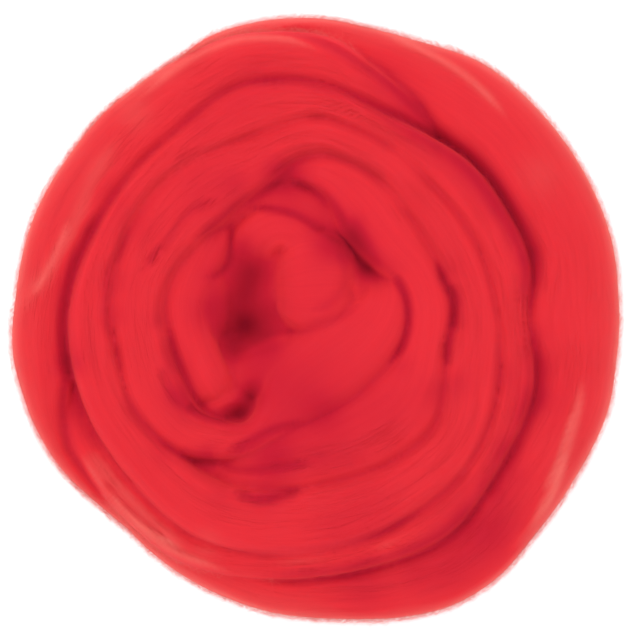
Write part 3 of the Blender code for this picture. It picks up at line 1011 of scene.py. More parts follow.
def creased(points, upward):
    """How far each point rises, in metres, and its painted light and shade, from creases and hollows.
    """
    facing = np.clip(upward, 0, 1)
    rise = np.zeros(len(points))
    tint = np.zeros(len(points))
    for crease in all_creases():
        route, presence = crease_route(crease.path)
        width = crease.width * MM
        low = route.min(0) - CREASE_REACH * width
        high = route.max(0) + CREASE_REACH * width
        near = np.all((points[:, :2] > low) & (points[:, :2] < high), axis=1) & (facing > 0)
        apart = np.linalg.norm(points[near, None, :2] - route[None], axis=2)
        there = presence[apart.argmin(axis=1)]
        reach = width * (CREASE_POINT + (1 - CREASE_POINT) * there)
        share = np.exp(-((apart.min(axis=1) / reach) ** 2)) * there * facing[near]
        rise[near] += crease.rise * MM * share
        tint[near] += crease.tint * share
    for hollow in HOLLOWS:
        apart = np.linalg.norm(points[:, :2] / MM - (hollow.x, hollow.y), axis=1)
        share = np.exp(-((apart / hollow.radius) ** 2)) * facing
        rise += hollow.rise * MM * share
        tint += hollow.tint * share
    return rise, tint


def softened_core(mesh, places):
    """The points, with those near the middle drawn towards their neighbours."""
    edges = np.empty(len(mesh.edges) * 2, int)
    mesh.edges.foreach_get("vertices", edges)
    start, end = edges.reshape(-1, 2).T
    count = len(places)
    links = np.bincount(start, minlength=count) + np.bincount(end, minlength=count)
    radius = np.hypot(places[:, 0], places[:, 1])
    share = CORE_SOFTENING * np.clip((CORE_RADIUS + CORE_FADE - radius) / CORE_FADE, 0, 1)
    share *= places[:, 2] > UNDERSIDE_HEIGHT
    for _ in range(CORE_SOFTENING_PASSES):
        for axis in range(3):
            values = places[:, axis]
            total = np.bincount(start, values[end], count) + np.bincount(end, values[start], count)
            places[:, axis] = values + share * (total / links - values)
    return places


def depth_below_surroundings(points, upward):
    """How far each point lies below the mean height of the wool round it, in metres."""
    cells = np.floor(points[:, :2] / HEIGHT_CELL).astype(int)
    cells -= cells.min(0) - HEIGHT_MARGIN
    x, y = cells.T
    height = np.zeros((x.max() + HEIGHT_MARGIN, y.max() + HEIGHT_MARGIN))
    seen = upward > 0
    np.maximum.at(height, (x[seen], y[seen]), points[seen, 2])
    window = np.ones(2 * HEIGHT_SPREAD + 1) / (2 * HEIGHT_SPREAD + 1)
    for _ in range(HEIGHT_PASSES):
        for axis in (0, 1):
            height = np.apply_along_axis(np.convolve, axis, height, window, "same")
    return np.maximum(height[x, y] - points[:, 2], 0) * (upward > LEAST_SHADED_UP)


def depth_inside_outline(points):
    """How far each point lies inside the outline seen from above, in metres."""
    radius = np.hypot(points[:, 0], points[:, 1])
    share = (np.arctan2(points[:, 1], points[:, 0]) / (2 * math.pi)) % 1.0 * RIM_BEARINGS
    outline = np.zeros(RIM_BEARINGS)
    np.maximum.at(outline, share.astype(int) % RIM_BEARINGS, radius)
    reach = np.interp(share, np.arange(RIM_BEARINGS) + 0.5, outline, period=RIM_BEARINGS)
    return np.maximum(reach - radius, 0)


def painted_rim_light(inside, upward):
    """How much painted light the thin wool near the outline gets, most where it faces up."""
    facing = np.clip(RIM_LEAST + RIM_SLOPE * upward, 0, 1)
    return facing * (RIM_PAINTED_LIGHT * np.exp(-inside / RIM_FADE) + RIM_PAINTED_GLOW * np.exp(-inside / RIM_GLOW))


def enclosed(inside, height):
    """From 0 on the flank, which is open to the light, to 1 where wool lies all round."""
    from_rim = (inside - FLANK_START) / FLANK_FADE
    from_floor = np.maximum(height - FLANK_HEIGHT, inside - FLANK_REACH) / FLANK_FADE
    return np.clip(from_rim, 0, 1) * np.clip(from_floor, 0, 1)


def corner_mean(values, corners, count):
    """The mean at each point of the values at its corners."""
    total = np.bincount(corners.ravel(), weights=values.ravel(), minlength=count)
    return total / np.bincount(corners.ravel(), minlength=count)


def dress(piece, sweeps, points, faces, owners):
    """Folds and creases the skin, and gives it its run and girth, its direction and its painted light
    and shade.
    """
    mesh = piece.data
    places, normals, corners = mesh_arrays(mesh)
    places = softened_core(mesh, places)
    count = len(places)
    owner = nearest_owner(places[corners].mean(axis=1), points, faces, owners)
    run = np.zeros(corners.shape)
    girth = np.zeros(corners.shape)
    fold = np.zeros(corners.shape)
    way = np.zeros((*corners.shape, 2))
    for number, turn in enumerate(sweeps):
        own = owner[:, 0] == number
        ring = owner[own, 1]
        run[own], girth[own] = run_and_girth(turn, ring, places[corners[own]])
        fold[own] = fold_height(run[own], girth[own], turn.seed)
        girth[own] += ISLAND * number
        way[own] = turn.along[ring][:, None]
    rise, tint = creased(places, normals[:, 2])
    places += normals * corner_mean(fold, corners, count)[:, None]
    places[:, 2] += rise
    # Painted shade where the wool lies below its surroundings, and painted light at the rim.
    sunk = depth_below_surroundings(places, normals[:, 2])
    inside = depth_inside_outline(places)
    shaded = np.clip(sunk / SHADED_DEPTH, 0, 1) ** DEPTH_POWER * enclosed(inside, places[:, 2])
    tint += painted_rim_light(inside, normals[:, 2]) - DEPTH_PAINTED_SHADE * shaded
    places[places[:, 2] < RESTING_HEIGHT, 2] = 0.0
    mesh.vertices.foreach_set("co", places.ravel())
    layer = mesh.uv_layers.new(name="run")
    layer.data.foreach_set("uv", np.stack([run, girth], axis=2).ravel())
    direction = np.zeros((count, 3))
    direction[:, 0] = corner_mean(way[:, :, 0], corners, count)
    direction[:, 1] = corner_mean(way[:, :, 1], corners, count)
    mesh.attributes.new("along", "FLOAT_VECTOR", "POINT").data.foreach_set("vector", direction.ravel())
    # The painted light and shade go to the materials as this attribute.
    mesh.attributes.new("tint", "FLOAT", "POINT").data.foreach_set("value", tint)
    mesh.shade_smooth()
    mesh.update()


# ---------------------------------------------------------------- node trees


def add(tree, kind, values=None, **settings):
    """A new node with its settings, and its inputs linked or filled. An input is given by its name, or
    by its number where the node has inputs of that name for several kinds of data."""
    node = tree.nodes.new(kind)
    for name, value in settings.items():
        setattr(node, name, value)
    for key, value in (values or {}).items():
        if isinstance(value, bpy.types.NodeSocket):
            tree.links.new(value, node.inputs[key])
        else:
            node.inputs[key].default_value = value
    return node


def maths(tree, operation, first, second=0.0, third=0.0):
    """The result of one operation on up to three numbers."""
    return add(tree, "ShaderNodeMath", {0: first, 1: second, 2: third}, operation=operation).outputs[0]


def compared(tree, operation, first, second):
    """Whether the comparison of two numbers holds."""
    node = add(
        tree, "FunctionNodeCompare", {0: first, 1: second}, data_type="FLOAT", operation=operation
    )
    return node.outputs[0]


def both(tree, first, second):
    """Whether both conditions hold."""
    return add(tree, "FunctionNodeBooleanMath", {0: first, 1: second}).outputs[0]


def vector_maths(tree, operation, first, second):
    """The result of one operation on two vectors."""
    return add(tree, "ShaderNodeVectorMath", {0: first, 1: second}, operation=operation).outputs[0]


def distance_from_axis(tree, place):
    """How far the place is from the nest's upright axis."""
    level = vector_maths(tree, "MULTIPLY", place, (1, 1, 0))
    return add(tree, "ShaderNodeVectorMath", {0: level}, operation="LENGTH").outputs["Value"]


def scaled(tree, vector, by):
    """The vector, this many times as long."""
    return add(tree, "ShaderNodeVectorMath", {0: vector, "Scale": by}, operation="SCALE").outputs[0]


def random_value(tree, low, high, seed, offset):
    """A random number for each item, from the tree's seed and an offset of its own."""
    own_seed = maths(tree, "ADD", seed, offset)
    node = add(tree, "FunctionNodeRandomValue", {2: low, 3: high, 8: own_seed}, data_type="FLOAT")
    return node.outputs[1]


def stored_value(tree, name, kind="FLOAT"):
    """The value that the mesh stores under the name."""
    return add(tree, "GeometryNodeInputNamedAttribute", {"Name": name}, data_type=kind).outputs[0]


def kept(tree, geometry, name, value, kind="FLOAT"):
    """The geometry with a value stored on its points, and the value read back wherever it is used."""
    stored = add(
        tree, "GeometryNodeStoreNamedAttribute", {"Geometry": geometry, "Name": name, "Value": value},
        data_type=kind, domain="POINT",
    )
    return stored.outputs["Geometry"], stored_value(tree, name, kind)


def fibre_tree(name, inputs):
    """A geometry tree with a mesh coming in, the named inputs and a mesh going out."""
    tree = bpy.data.node_groups.new(name, "GeometryNodeTree")
    tree.interface.new_socket("Geometry", in_out="INPUT", socket_type="NodeSocketGeometry")
    for label, kind in inputs:
        tree.interface.new_socket(label, in_out="INPUT", socket_type=kind)
    tree.interface.new_socket("Geometry", in_out="OUTPUT", socket_type="NodeSocketGeometry")
    return tree, tree.nodes.new("NodeGroupInput")


def finish_fibres(tree, curves, thickness, material):
    """Gives the curves their thickness and closes the tree."""
    profile = add(tree, "GeometryNodeCurvePrimitiveCircle", {"Resolution": FIBRE_SIDES, "Radius": 1.0})
    skin = add(
        tree, "GeometryNodeCurveToMesh",
        {"Curve": curves, "Profile Curve": profile.outputs[0], "Scale": thickness, "Fill Caps": True},
    )
    real = add(tree, "GeometryNodeRealizeInstances", {"Geometry": skin.outputs[0]})
    painted = add(tree, "GeometryNodeSetMaterial", {"Geometry": real.outputs[0], "Material": material})
    out = tree.nodes.new("NodeGroupOutput")
    tree.links.new(painted.outputs[0], out.inputs[0])


def strokes(tree, points, count):
    """One straight stroke for each point, as real curves."""
    line = add(tree, "GeometryNodeCurvePrimitiveLine", {"Start": (0, 0, 0), "End": (MM, 0, 0)})
    fine = add(
        tree, "GeometryNodeResampleCurve", {"Curve": line.outputs[0], "Count": count}, mode="COUNT"
    )
    spread = add(tree, "GeometryNodeInstanceOnPoints", {"Points": points, "Instance": fine.outputs[0]})
    return add(tree, "GeometryNodeRealizeInstances", {"Geometry": spread.outputs[0]}).outputs[0]


# Strands and hairs have this many sides.
FIBRE_SIDES = 3

# A combed strand is at least this share of the longest. It sways by this share of its wander, its
# ends are sunk by this share of its thickness, and its middle is lifted off the skin. Its tips have
# this share of its thickness, which is this share of the thickness given and up to this much more.
# A strand with less than this share of itself on its turn is left out.
COMBED_POINTS = 8
COMBED_SHORTEST = 0.5
COMBED_SWAY = 0.3
COMBED_SUNK = 0.8
COMBED_LIFT = 0.03 * MM
COMBED_TIP = 0.25
COMBED_THINNEST = 0.6
COMBED_THICKER = 0.8
COMBED_WHOLE = 0.999
COMBED_INPUTS = (
    ("Count", "NodeSocketInt"),
    ("Run", "NodeSocketFloat"),
    ("Length", "NodeSocketFloat"),
    ("Thickness", "NodeSocketFloat"),
    ("Low Edge", "NodeSocketFloat"),
    ("High Edge", "NodeSocketFloat"),
    ("Island", "NodeSocketFloat"),
    ("Wander", "NodeSocketFloat"),
    ("Least Radius", "NodeSocketFloat"),
    ("Seed", "NodeSocketInt"),
    ("Material", "NodeSocketMaterial"),
)

# A loose hair grows where the skin faces up more than this. Its length is this share of the length
# given and up to this much more, and its rise likewise. The loosest leave the skin by this power of
# their run. A hair swings through this many radians, bends to one side by this share of its length,
# and keeps clear of the floor. Its tip has this share of its thickness.
FLYAWAY_POINTS = 3
LEAST_UP = -0.5
HAIR_SHORTEST = 0.4
HAIR_LONGER = 0.8
HAIR_LOWEST = 0.3
HAIR_HIGHER = 1.4
HAIR_LEAVING = 1.5
HAIR_SWING = 4.0
HAIR_BEND = 0.5
HAIR_CURL = 1.2 * MM
HAIR_CLEARANCE = 0.3 * MM
HAIR_TIP = 0.3
FLYAWAY_INPUTS = (
    ("Density", "NodeSocketFloat"),
    ("Length", "NodeSocketFloat"),
    ("Rise", "NodeSocketFloat"),
    ("Least Radius", "NodeSocketFloat"),
    ("Most Up", "NodeSocketFloat"),
    ("Thickness", "NodeSocketFloat"),
    # The hairs' painted light, as a share of the pale colour.
    ("Tint", "NodeSocketFloat"),
    ("Seed", "NodeSocketInt"),
    ("Material", "NodeSocketMaterial"),
)


def sampled_at(tree, mesh, uv, value, kind="FLOAT"):
    """The mesh's value at a place in its map of runs and girths, and whether the place is on it."""
    inputs = {"Mesh": mesh, "Value": value, "UV Map": stored_value(tree, "run", "FLOAT_VECTOR")}
    node = add(tree, "GeometryNodeSampleUVSurface", {**inputs, "Sample UV": uv}, data_type=kind)
    return node.outputs["Value"], node.outputs["Is Valid"]


def combed_tree():
    """Fibre locks that lie along a turn, sampled from its surface by run and girth."""
    tree, given = fibre_tree("combed_fibres", COMBED_INPUTS)
    read = given.outputs
    seed = read["Seed"]
    cloud = add(tree, "GeometryNodePoints", {"Count": read["Count"]}).outputs[0]
    share_of_length = random_value(tree, COMBED_SHORTEST, 1.0, seed, 1)
    reach_value = maths(tree, "MULTIPLY", read["Length"], share_of_length)
    room = maths(tree, "SUBTRACT", read["Run"], read["Length"])
    start_value = maths(tree, "MULTIPLY", room, random_value(tree, 0.0, 1.0, seed, 2))
    width = maths(tree, "SUBTRACT", read["High Edge"], read["Low Edge"])
    share_of_width = random_value(tree, 0.0, 1.0, seed, 3)
    edge_value = maths(tree, "MULTIPLY_ADD", width, share_of_width, read["Low Edge"])
    edge_value = maths(tree, "ADD", edge_value, read["Island"])
    drift_value = maths(tree, "MULTIPLY", read["Wander"], random_value(tree, -1.0, 1.0, seed, 4))
    cloud, reach = kept(tree, cloud, "reach", reach_value)
    cloud, start = kept(tree, cloud, "start", start_value)
    cloud, edge = kept(tree, cloud, "edge", edge_value)
    cloud, drift = kept(tree, cloud, "drift", drift_value)
    cloud, phase = kept(tree, cloud, "phase", random_value(tree, 0.0, 2 * math.pi, seed, 5))
    cloud, shade = kept(tree, cloud, "shade", random_value(tree, 0.0, 1.0, seed, 6))
    curves = strokes(tree, cloud, COMBED_POINTS)
    share = add(tree, "GeometryNodeSplineParameter").outputs["Factor"]
    u = maths(tree, "MULTIPLY_ADD", reach, share, start)
    sway = maths(tree, "SINE", maths(tree, "MULTIPLY_ADD", share, 2 * math.pi, phase))
    v = maths(tree, "MULTIPLY_ADD", drift, share, edge)
    v = maths(tree, "MULTIPLY_ADD", maths(tree, "MULTIPLY", read["Wander"], COMBED_SWAY), sway, v)
    uv = add(tree, "ShaderNodeCombineXYZ", {"X": u, "Y": v}).outputs[0]
    skin = read["Geometry"]
    position = add(tree, "GeometryNodeInputPosition").outputs[0]
    facing = add(tree, "GeometryNodeInputNormal").outputs[0]
    place, on_skin = sampled_at(tree, skin, uv, position, "FLOAT_VECTOR")
    normal = sampled_at(tree, skin, uv, facing, "FLOAT_VECTOR")[0]
    skin_painted_shading = sampled_at(tree, skin, uv, stored_value(tree, "tint"))[0]
    outside = maths(tree, "GREATER_THAN", distance_from_axis(tree, place), read["Least Radius"])
    shown = maths(tree, "MULTIPLY", on_skin, outside)
    bow = maths(tree, "SINE", maths(tree, "MULTIPLY", share, math.pi))
    sunk = maths(tree, "MULTIPLY", read["Thickness"], -COMBED_SUNK)
    lift = maths(tree, "MULTIPLY_ADD", bow, COMBED_LIFT, sunk)
    raised = vector_maths(tree, "ADD", place, scaled(tree, normal, lift))
    laid = add(tree, "GeometryNodeSetPosition", {"Geometry": curves, "Position": raised}).outputs[0]
    taper = maths(tree, "MULTIPLY_ADD", bow, 1 - COMBED_TIP, COMBED_TIP)
    own = maths(tree, "MULTIPLY_ADD", shade, COMBED_THICKER, COMBED_THINNEST)
    thickness = maths(tree, "MULTIPLY", read["Thickness"], maths(tree, "MULTIPLY", taper, own))
    # The strands take the skin's painted light and shade.
    laid = kept(tree, laid, "tint", skin_painted_shading)[0]
    laid, whole = kept(tree, laid, "shown", shown)
    broken = compared(tree, "LESS_THAN", whole, COMBED_WHOLE)
    trimmed = add(
        tree, "GeometryNodeDeleteGeometry", {"Geometry": laid, "Selection": broken}, domain="CURVE"
    )
    finish_fibres(tree, trimmed.outputs[0], thickness, read["Material"])
    return tree


def flyaway_tree():
    """Loose hairs that leave a turn's surface, most of them lying back along it."""
    tree, given = fibre_tree("flyaway_fibres", FLYAWAY_INPUTS)
    read = given.outputs
    seed = read["Seed"]
    facing = add(tree, "GeometryNodeInputNormal").outputs[0]
    upward = add(tree, "ShaderNodeSeparateXYZ", {0: facing}).outputs["Z"]
    here = add(tree, "GeometryNodeInputPosition").outputs[0]
    shown = compared(tree, "GREATER_THAN", upward, LEAST_UP)
    outside = compared(tree, "GREATER_THAN", distance_from_axis(tree, here), read["Least Radius"])
    flank = compared(tree, "LESS_THAN", upward, read["Most Up"])
    chosen = both(tree, both(tree, shown, outside), flank)
    scatter = add(
        tree, "GeometryNodeDistributePointsOnFaces",
        {"Mesh": read["Geometry"], "Selection": chosen, "Density": read["Density"], "Seed": seed},
        distribute_method="RANDOM",
    )
    cloud = scatter.outputs["Points"]
    cloud, out = kept(tree, cloud, "out", scatter.outputs["Normal"], "FLOAT_VECTOR")
    cloud, root = kept(tree, cloud, "root", here, "FLOAT_VECTOR")
    cloud, shade = kept(tree, cloud, "shade", random_value(tree, 0.0, 1.0, seed, 6))
    cloud, turn = kept(tree, cloud, "turn", random_value(tree, -1.0, 1.0, seed, 7))
    cloud, loose = kept(tree, cloud, "loose", random_value(tree, 0.0, 1.0, seed, 8))
    cloud, phase = kept(tree, cloud, "phase", random_value(tree, 0.0, 2 * math.pi, seed, 9))
    cloud, way = kept(tree, cloud, "way", random_value(tree, -1.0, 1.0, seed, 10))
    along = stored_value(tree, "along", "FLOAT_VECTOR")
    curves = strokes(tree, cloud, FLYAWAY_POINTS)
    share = add(tree, "GeometryNodeSplineParameter").outputs["Factor"]
    across = vector_maths(tree, "CROSS_PRODUCT", along, out)
    own_share = maths(tree, "MULTIPLY_ADD", shade, HAIR_LONGER, HAIR_SHORTEST)
    own_length = maths(tree, "MULTIPLY", read["Length"], own_share)
    run = maths(tree, "MULTIPLY", own_length, share)
    forward = maths(tree, "MULTIPLY", run, maths(tree, "SIGN", way))
    arch = maths(tree, "SINE", maths(tree, "MULTIPLY", share, math.pi))
    leave = maths(tree, "POWER", share, HAIR_LEAVING)
    shape = add(tree, "ShaderNodeMix", {0: loose, 2: arch, 3: leave}).outputs[0]
    own_height = maths(tree, "MULTIPLY_ADD", loose, HAIR_HIGHER, HAIR_LOWEST)
    own_rise = maths(tree, "MULTIPLY", read["Rise"], own_height)
    rise = maths(tree, "MULTIPLY", own_rise, shape)
    swing = maths(tree, "SINE", maths(tree, "MULTIPLY_ADD", share, HAIR_SWING, phase))
    swing = maths(tree, "MULTIPLY", maths(tree, "MULTIPLY", swing, share), HAIR_CURL)
    swing = maths(tree, "MULTIPLY_ADD", maths(tree, "MULTIPLY", turn, forward), HAIR_BEND, swing)
    place = vector_maths(tree, "ADD", root, scaled(tree, along, forward))
    place = vector_maths(tree, "ADD", place, scaled(tree, out, rise))
    place = vector_maths(tree, "ADD", place, scaled(tree, across, swing))
    x, y, z = add(tree, "ShaderNodeSeparateXYZ", {0: place}).outputs
    above = maths(tree, "MAXIMUM", z, HAIR_CLEARANCE)
    place = add(tree, "ShaderNodeCombineXYZ", {"X": x, "Y": y, "Z": above}).outputs[0]
    laid = add(tree, "GeometryNodeSetPosition", {"Geometry": curves, "Position": place}).outputs[0]
    # The hairs carry their painted light.
    laid = kept(tree, laid, "tint", read["Tint"])[0]
    taper = maths(tree, "SUBTRACT", 1.0, maths(tree, "MULTIPLY", share, 1 - HAIR_TIP))
    thickness = maths(tree, "MULTIPLY", read["Thickness"], taper)
    finish_fibres(tree, laid, thickness, read["Material"])
    return tree


def grown(name, carrier, tree, values):
    """A plain mesh piece of what the tree makes from the carrier's mesh."""
    helper = bpy.data.objects.new(name, carrier.data)
    bpy.context.scene.collection.objects.link(helper)
    growing = helper.modifiers.new("Grow", "NODES")
    growing.node_group = tree
    for item in tree.interface.items_tree:
        if item.in_out == "INPUT" and item.name in values:
            growing[item.identifier] = values[item.name]
    graph = bpy.context.evaluated_depsgraph_get()
    mesh = bpy.data.meshes.new_from_object(helper.evaluated_get(graph))
    if len(mesh.polygons) == 0:
        raise RuntimeError(f"{name} grew no fibres")
    mesh.name = name
    helper.modifiers.clear()
    helper.data = mesh
    return helper


# ---------------------------------------------------------------- materials


def shader_group(name, inputs, outputs):
    """A shader node group with named inputs and outputs."""
    group = bpy.data.node_groups.new(name, "ShaderNodeTree")
    for label, kind in inputs:
        group.interface.new_socket(label, in_out="INPUT", socket_type=kind)
    for label, kind in outputs:
        group.interface.new_socket(label, in_out="OUTPUT", socket_type=kind)
    return group, group.nodes.new("NodeGroupInput"), group.nodes.new("NodeGroupOutput")


def streak_group():
    """Long streaks that follow the fibres, coarse locks and fine hairs, as a mask from 0 to 1."""
    group, given, made = shader_group(
        "combed_streaks",
        (("Along", "NodeSocketVector"), ("Stretch", "NodeSocketFloat"), ("Girth", "NodeSocketFloat")),
        (("Streak", "NodeSocketFloat"), ("Fine", "NodeSocketFloat")),
    )
    parts = add(group, "ShaderNodeSeparateXYZ", {0: given.outputs["Along"]})
    u = maths(group, "MULTIPLY", parts.outputs["X"], given.outputs["Stretch"])
    v = maths(group, "MULTIPLY", parts.outputs["Y"], given.outputs["Girth"])
    place = add(group, "ShaderNodeCombineXYZ", {"X": u, "Y": v}).outputs[0]
    coarse = {"Scale": 1.0, "Detail": 2.0, "Roughness": 0.6}
    fine = {"Scale": 4.0, "Detail": 3.0, "Roughness": 0.7}
    for label, grain in (("Streak", coarse), ("Fine", fine)):
        noise = add(group, "ShaderNodeTexNoise", {"Vector": place, **grain})
        group.links.new(noise.outputs[0], made.inputs[label])
    return group


def new_material(name, finish):
    """A material with this finish, its node tree and its shader."""
    material = bpy.data.materials.new(name)
    material.use_nodes = True
    shader = material.node_tree.nodes["Principled BSDF"]
    for socket, value in finish.items():
        shader.inputs[socket].default_value = value
    return material, material.node_tree, shader


WOOL_FINISH = {
    "Roughness": 0.85,
    "Specular IOR Level": 0.06,
    "Sheen Weight": 0.03,
    "Sheen Roughness": 0.6,
    "Sheen Tint": (1.0, 0.55, 0.45, 1.0),
    "Subsurface Weight": 0.4,
    "Subsurface Radius": (1.0, 0.15, 0.15),
    "Subsurface Scale": 0.004,
}
FIBRE_FINISH = {
    "Roughness": 0.8,
    "Specular IOR Level": 0.08,
    "Sheen Weight": 0.03,
    "Sheen Roughness": 0.6,
    "Sheen Tint": (1.0, 0.55, 0.45, 1.0),
}
FLOOR_FINISH = {
    "Roughness": 0.9,
    "Specular IOR Level": 0.1,
    "Emission Color": (1.0, 1.0, 1.0, 1.0),
}

# How many streaks of noise pass in a metre along a turn, and how many in its whole girth. The mask
# of the streaks goes from the darkest wool at the first level to the lightest at the second.
STREAK_STRETCH = 14.0
STREAK_GIRTH = 34.0
STREAK_LEVELS = (0.36, 0.66)
FIBRE_LEVELS = (0.0, 1.0)
MIDDLE_LEVEL = 0.5

# The level of painted shade at which the wool has the colour of the painted shade down the crease
# sides.
SHADE_TINT = 0.35


def painted_shading_colour(tree, colour):
    """The colour, with painted shade where the painted shading is below 0 and painted light where it is
    above.
    """
    colours = bpy.context.scene.nest_colours
    tint = add(tree, "ShaderNodeAttribute", attribute_name="tint").outputs["Fac"]
    shaded = maths(tree, "MULTIPLY", tint, -1 / SHADE_TINT)
    deepest = maths(tree, "MULTIPLY_ADD", tint, -1 / (1 - SHADE_TINT), -SHADE_TINT / (1 - SHADE_TINT))
    steps = ((shaded, colours.painted_shade_wool), (deepest, colours.painted_crease_shade), (tint, colours.painted_light_wool))
    for share, target in steps:
        capped = add(tree, "ShaderNodeClamp", {"Value": share}).outputs[0]
        mixer = add(tree, "ShaderNodeMix", {0: capped, 6: colour, 7: (*target, 1.0)}, data_type="RGBA")
        colour = mixer.outputs[2]
    return colour


def shaded_wool(tree, level, levels):
    """The wool's colour, from dark at the first of the levels to light at the second, with painted
    light and shade.
    """
    colours = bpy.context.scene.nest_colours
    ramp = add(tree, "ShaderNodeValToRGB", {0: level})
    stops = ramp.color_ramp.elements
    stops[0].position, stops[1].position = levels
    stops[0].color = (*colours.dark_wool, 1.0)
    stops[1].color = (*colours.light_wool, 1.0)
    stops.new(MIDDLE_LEVEL).color = (*colours.wool, 1.0)
    return painted_shading_colour(tree, ramp.outputs[0])


def wool_material(streaks):
    """Combed wool: streaks of lighter and deeper red along the turn, with painted light and shade, and
    a fine ribbed surface.
    """
    material, tree, shader = new_material("combed_wool", WOOL_FINISH)
    run = add(tree, "ShaderNodeUVMap", uv_map="run").outputs[0]
    mask = add(tree, "ShaderNodeGroup", node_tree=streaks)
    tree.links.new(run, mask.inputs["Along"])
    mask.inputs["Stretch"].default_value = STREAK_STRETCH
    mask.inputs["Girth"].default_value = STREAK_GIRTH
    coarse = maths(tree, "MULTIPLY", mask.outputs["Streak"], 0.5)
    level = maths(tree, "MULTIPLY_ADD", mask.outputs["Fine"], 0.5, coarse)
    tree.links.new(shaded_wool(tree, level, STREAK_LEVELS), shader.inputs["Base Color"])
    bump = add(tree, "ShaderNodeBump", {"Height": level, "Strength": 0.1, "Distance": 0.0003})
    tree.links.new(bump.outputs[0], shader.inputs["Normal"])
    return material


def fibre_material():
    """Single strands and hairs: each has one tone of the wool, with painted light and shade on top."""
    material, tree, shader = new_material("wool_fibre", FIBRE_FINISH)
    shade = add(tree, "ShaderNodeAttribute", attribute_name="shade").outputs["Fac"]
    tree.links.new(shaded_wool(tree, shade, FIBRE_LEVELS), shader.inputs["Base Color"])
    return material


def floor_material():
    """A plain pale floor, with some light coming through it."""
    material, _, shader = new_material("pale_floor", FLOOR_FINISH)
    shader.inputs["Base Color"].default_value = (*bpy.context.scene.nest_colours.floor, 1.0)
    shader.inputs["Emission Strength"].default_value = bpy.context.scene.studio_settings.floor_glow
    return material


def material_named(name, maker):
    """The material of that name, made the first time that it is asked for."""
    found = bpy.data.materials.get(name)
    return found or maker()


def combed_wool():
    """The material of the wound wool."""
    return material_named("combed_wool", lambda: wool_material(streak_group()))


def wool_fibre():
    """The material of the strands and hairs."""
    return material_named("wool_fibre", fibre_material)


# ---------------------------------------------------------------- pieces


def settle(piece):
    """Ties a finished piece to the frame."""
    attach(piece, BODY)


class WOOL_OT_wind_nest(bpy.types.Operator):
    """Wind all the turns of the nest and join them under one soft skin"""

    bl_idname = "wool.wind_nest"
    bl_label = "Wind the nest"

    def execute(self, context):
        sweeps = nest_sweeps()
        points, faces, owners = crossing_turns(sweeps)
        piece = fused(points, faces)
        dress(piece, sweeps, points, faces, owners)
        piece.data.materials.clear()
        piece.data.materials.append(combed_wool())
        settle(piece)
        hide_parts(NODE)
        return {"FINISHED"}


# The combed strands of each turn: how many there are, and the part of the girth where they start.
# The longest is at most this share of its turn, and none lies nearer the middle than this radius.
COMBED = {
    "combed_sliver": Combing(turn="sliver", fibres=6000, low=0.2, high=0.8),
    "combed_outer_turn": Combing(turn="outer_turn", fibres=2200, low=0.1, high=0.85),
    "combed_wide_turn": Combing(turn="wide_turn", fibres=4500, low=0.1, high=0.9),
    "combed_wedge_turn": Combing(turn="wedge_turn", fibres=1500, low=0.22, high=0.78),
    "combed_base": Combing(turn="base", fibres=3000, low=0.05, high=0.95),
}
COMBED_LONGEST = 0.6
COMBED_RADIUS = 46 * MM
COMBED_SEED = 100


class WOOL_OT_comb_fibres(bpy.types.Operator):
    """Lay combed fibres along the main turns, on the skin of the nest"""

    bl_idname = "wool.comb_fibres"
    bl_label = "Comb the fibres"

    def execute(self, context):
        sizes = context.scene.nest_sizes
        tree = combed_tree()
        skin = bpy.data.objects[SKIN]
        turns = {turn.name: turn for turn in nest_sweeps()}
        for name, combing in COMBED.items():
            turn = turns[combing.turn]
            run = float(turn.run[-1])
            values = {
                "Count": combing.fibres,
                "Run": run,
                "Length": min(sizes.fibre_length, run * COMBED_LONGEST),
                "Thickness": sizes.fibre_thickness,
                "Low Edge": combing.low,
                "High Edge": combing.high,
                "Island": ISLAND * turn.seed,
                "Wander": sizes.fibre_wander,
                "Least Radius": COMBED_RADIUS,
                "Seed": COMBED_SEED * turn.seed,
                "Material": wool_fibre(),
            }
            settle(grown(name, skin, tree, values))
        return {"FINISHED"}


# The loose hairs: how many there are on a square metre, how long the longest are in metres, and
# where they grow, from this radius out and on wool that faces up less than this. Their rise is a
# share of the one in the sizes. The last number is painted light: the fringe hairs are painted paler,
# for the light that comes through them.
FLYAWAY = {
    "flyaway_hairs": Hairs(
        density=14000, length=0.012, least_radius=0.045, most_up=2.0, rise=0.6, tint=0.0
    ),
    "fringe_hairs": Hairs(
        density=700000, length=0.0045, least_radius=0.1, most_up=0.3, rise=1.25, tint=0.5
    ),
    "fringe_fuzz": Hairs(
        density=700000, length=0.003, least_radius=0.1, most_up=0.3, rise=1.8, tint=0.6
    ),
}
FLYAWAY_SEED = 1001


class WOOL_OT_raise_flyaways(bpy.types.Operator):
    """Raise the loose hairs that make the outline soft"""

    bl_idname = "wool.raise_flyaways"
    bl_label = "Raise the flyaway hairs"

    def execute(self, context):
        sizes = context.scene.nest_sizes
        tree = flyaway_tree()
        skin = bpy.data.objects[SKIN]
        for seed, (name, hairs) in enumerate(FLYAWAY.items(), start=FLYAWAY_SEED):
            values = {
                "Density": float(hairs.density),
                "Length": hairs.length,
                "Rise": sizes.flyaway_rise * hairs.rise,
                "Least Radius": hairs.least_radius,
                "Most Up": hairs.most_up,
                "Thickness": sizes.flyaway_thickness,
                "Tint": hairs.tint,
                "Seed": seed,
                "Material": wool_fibre(),
            }
            settle(grown(name, skin, tree, values))
        return {"FINISHED"}


# ---------------------------------------------------------------- studio

# The floor lies just under the nest. The lamp hangs behind it to the left and tilts towards it, by
# these degrees. The camera looks straight down, and is set for the view at this height.
FLOOR_SIZE = 6.0
FLOOR_DROP = 0.1 * MM
LAMP_PLACE = (-0.25, 0.35, 0.9)
LAMP_TILT = (-20, -15)
LAMP_SIZE = 1.2
SENSOR_WIDTH = 36.0
CAMERA_OFFSET = (0.76 * MM, -0.57 * MM)
FRAMED_HEIGHT = 0.03
CAMERA_REACH = 20.0


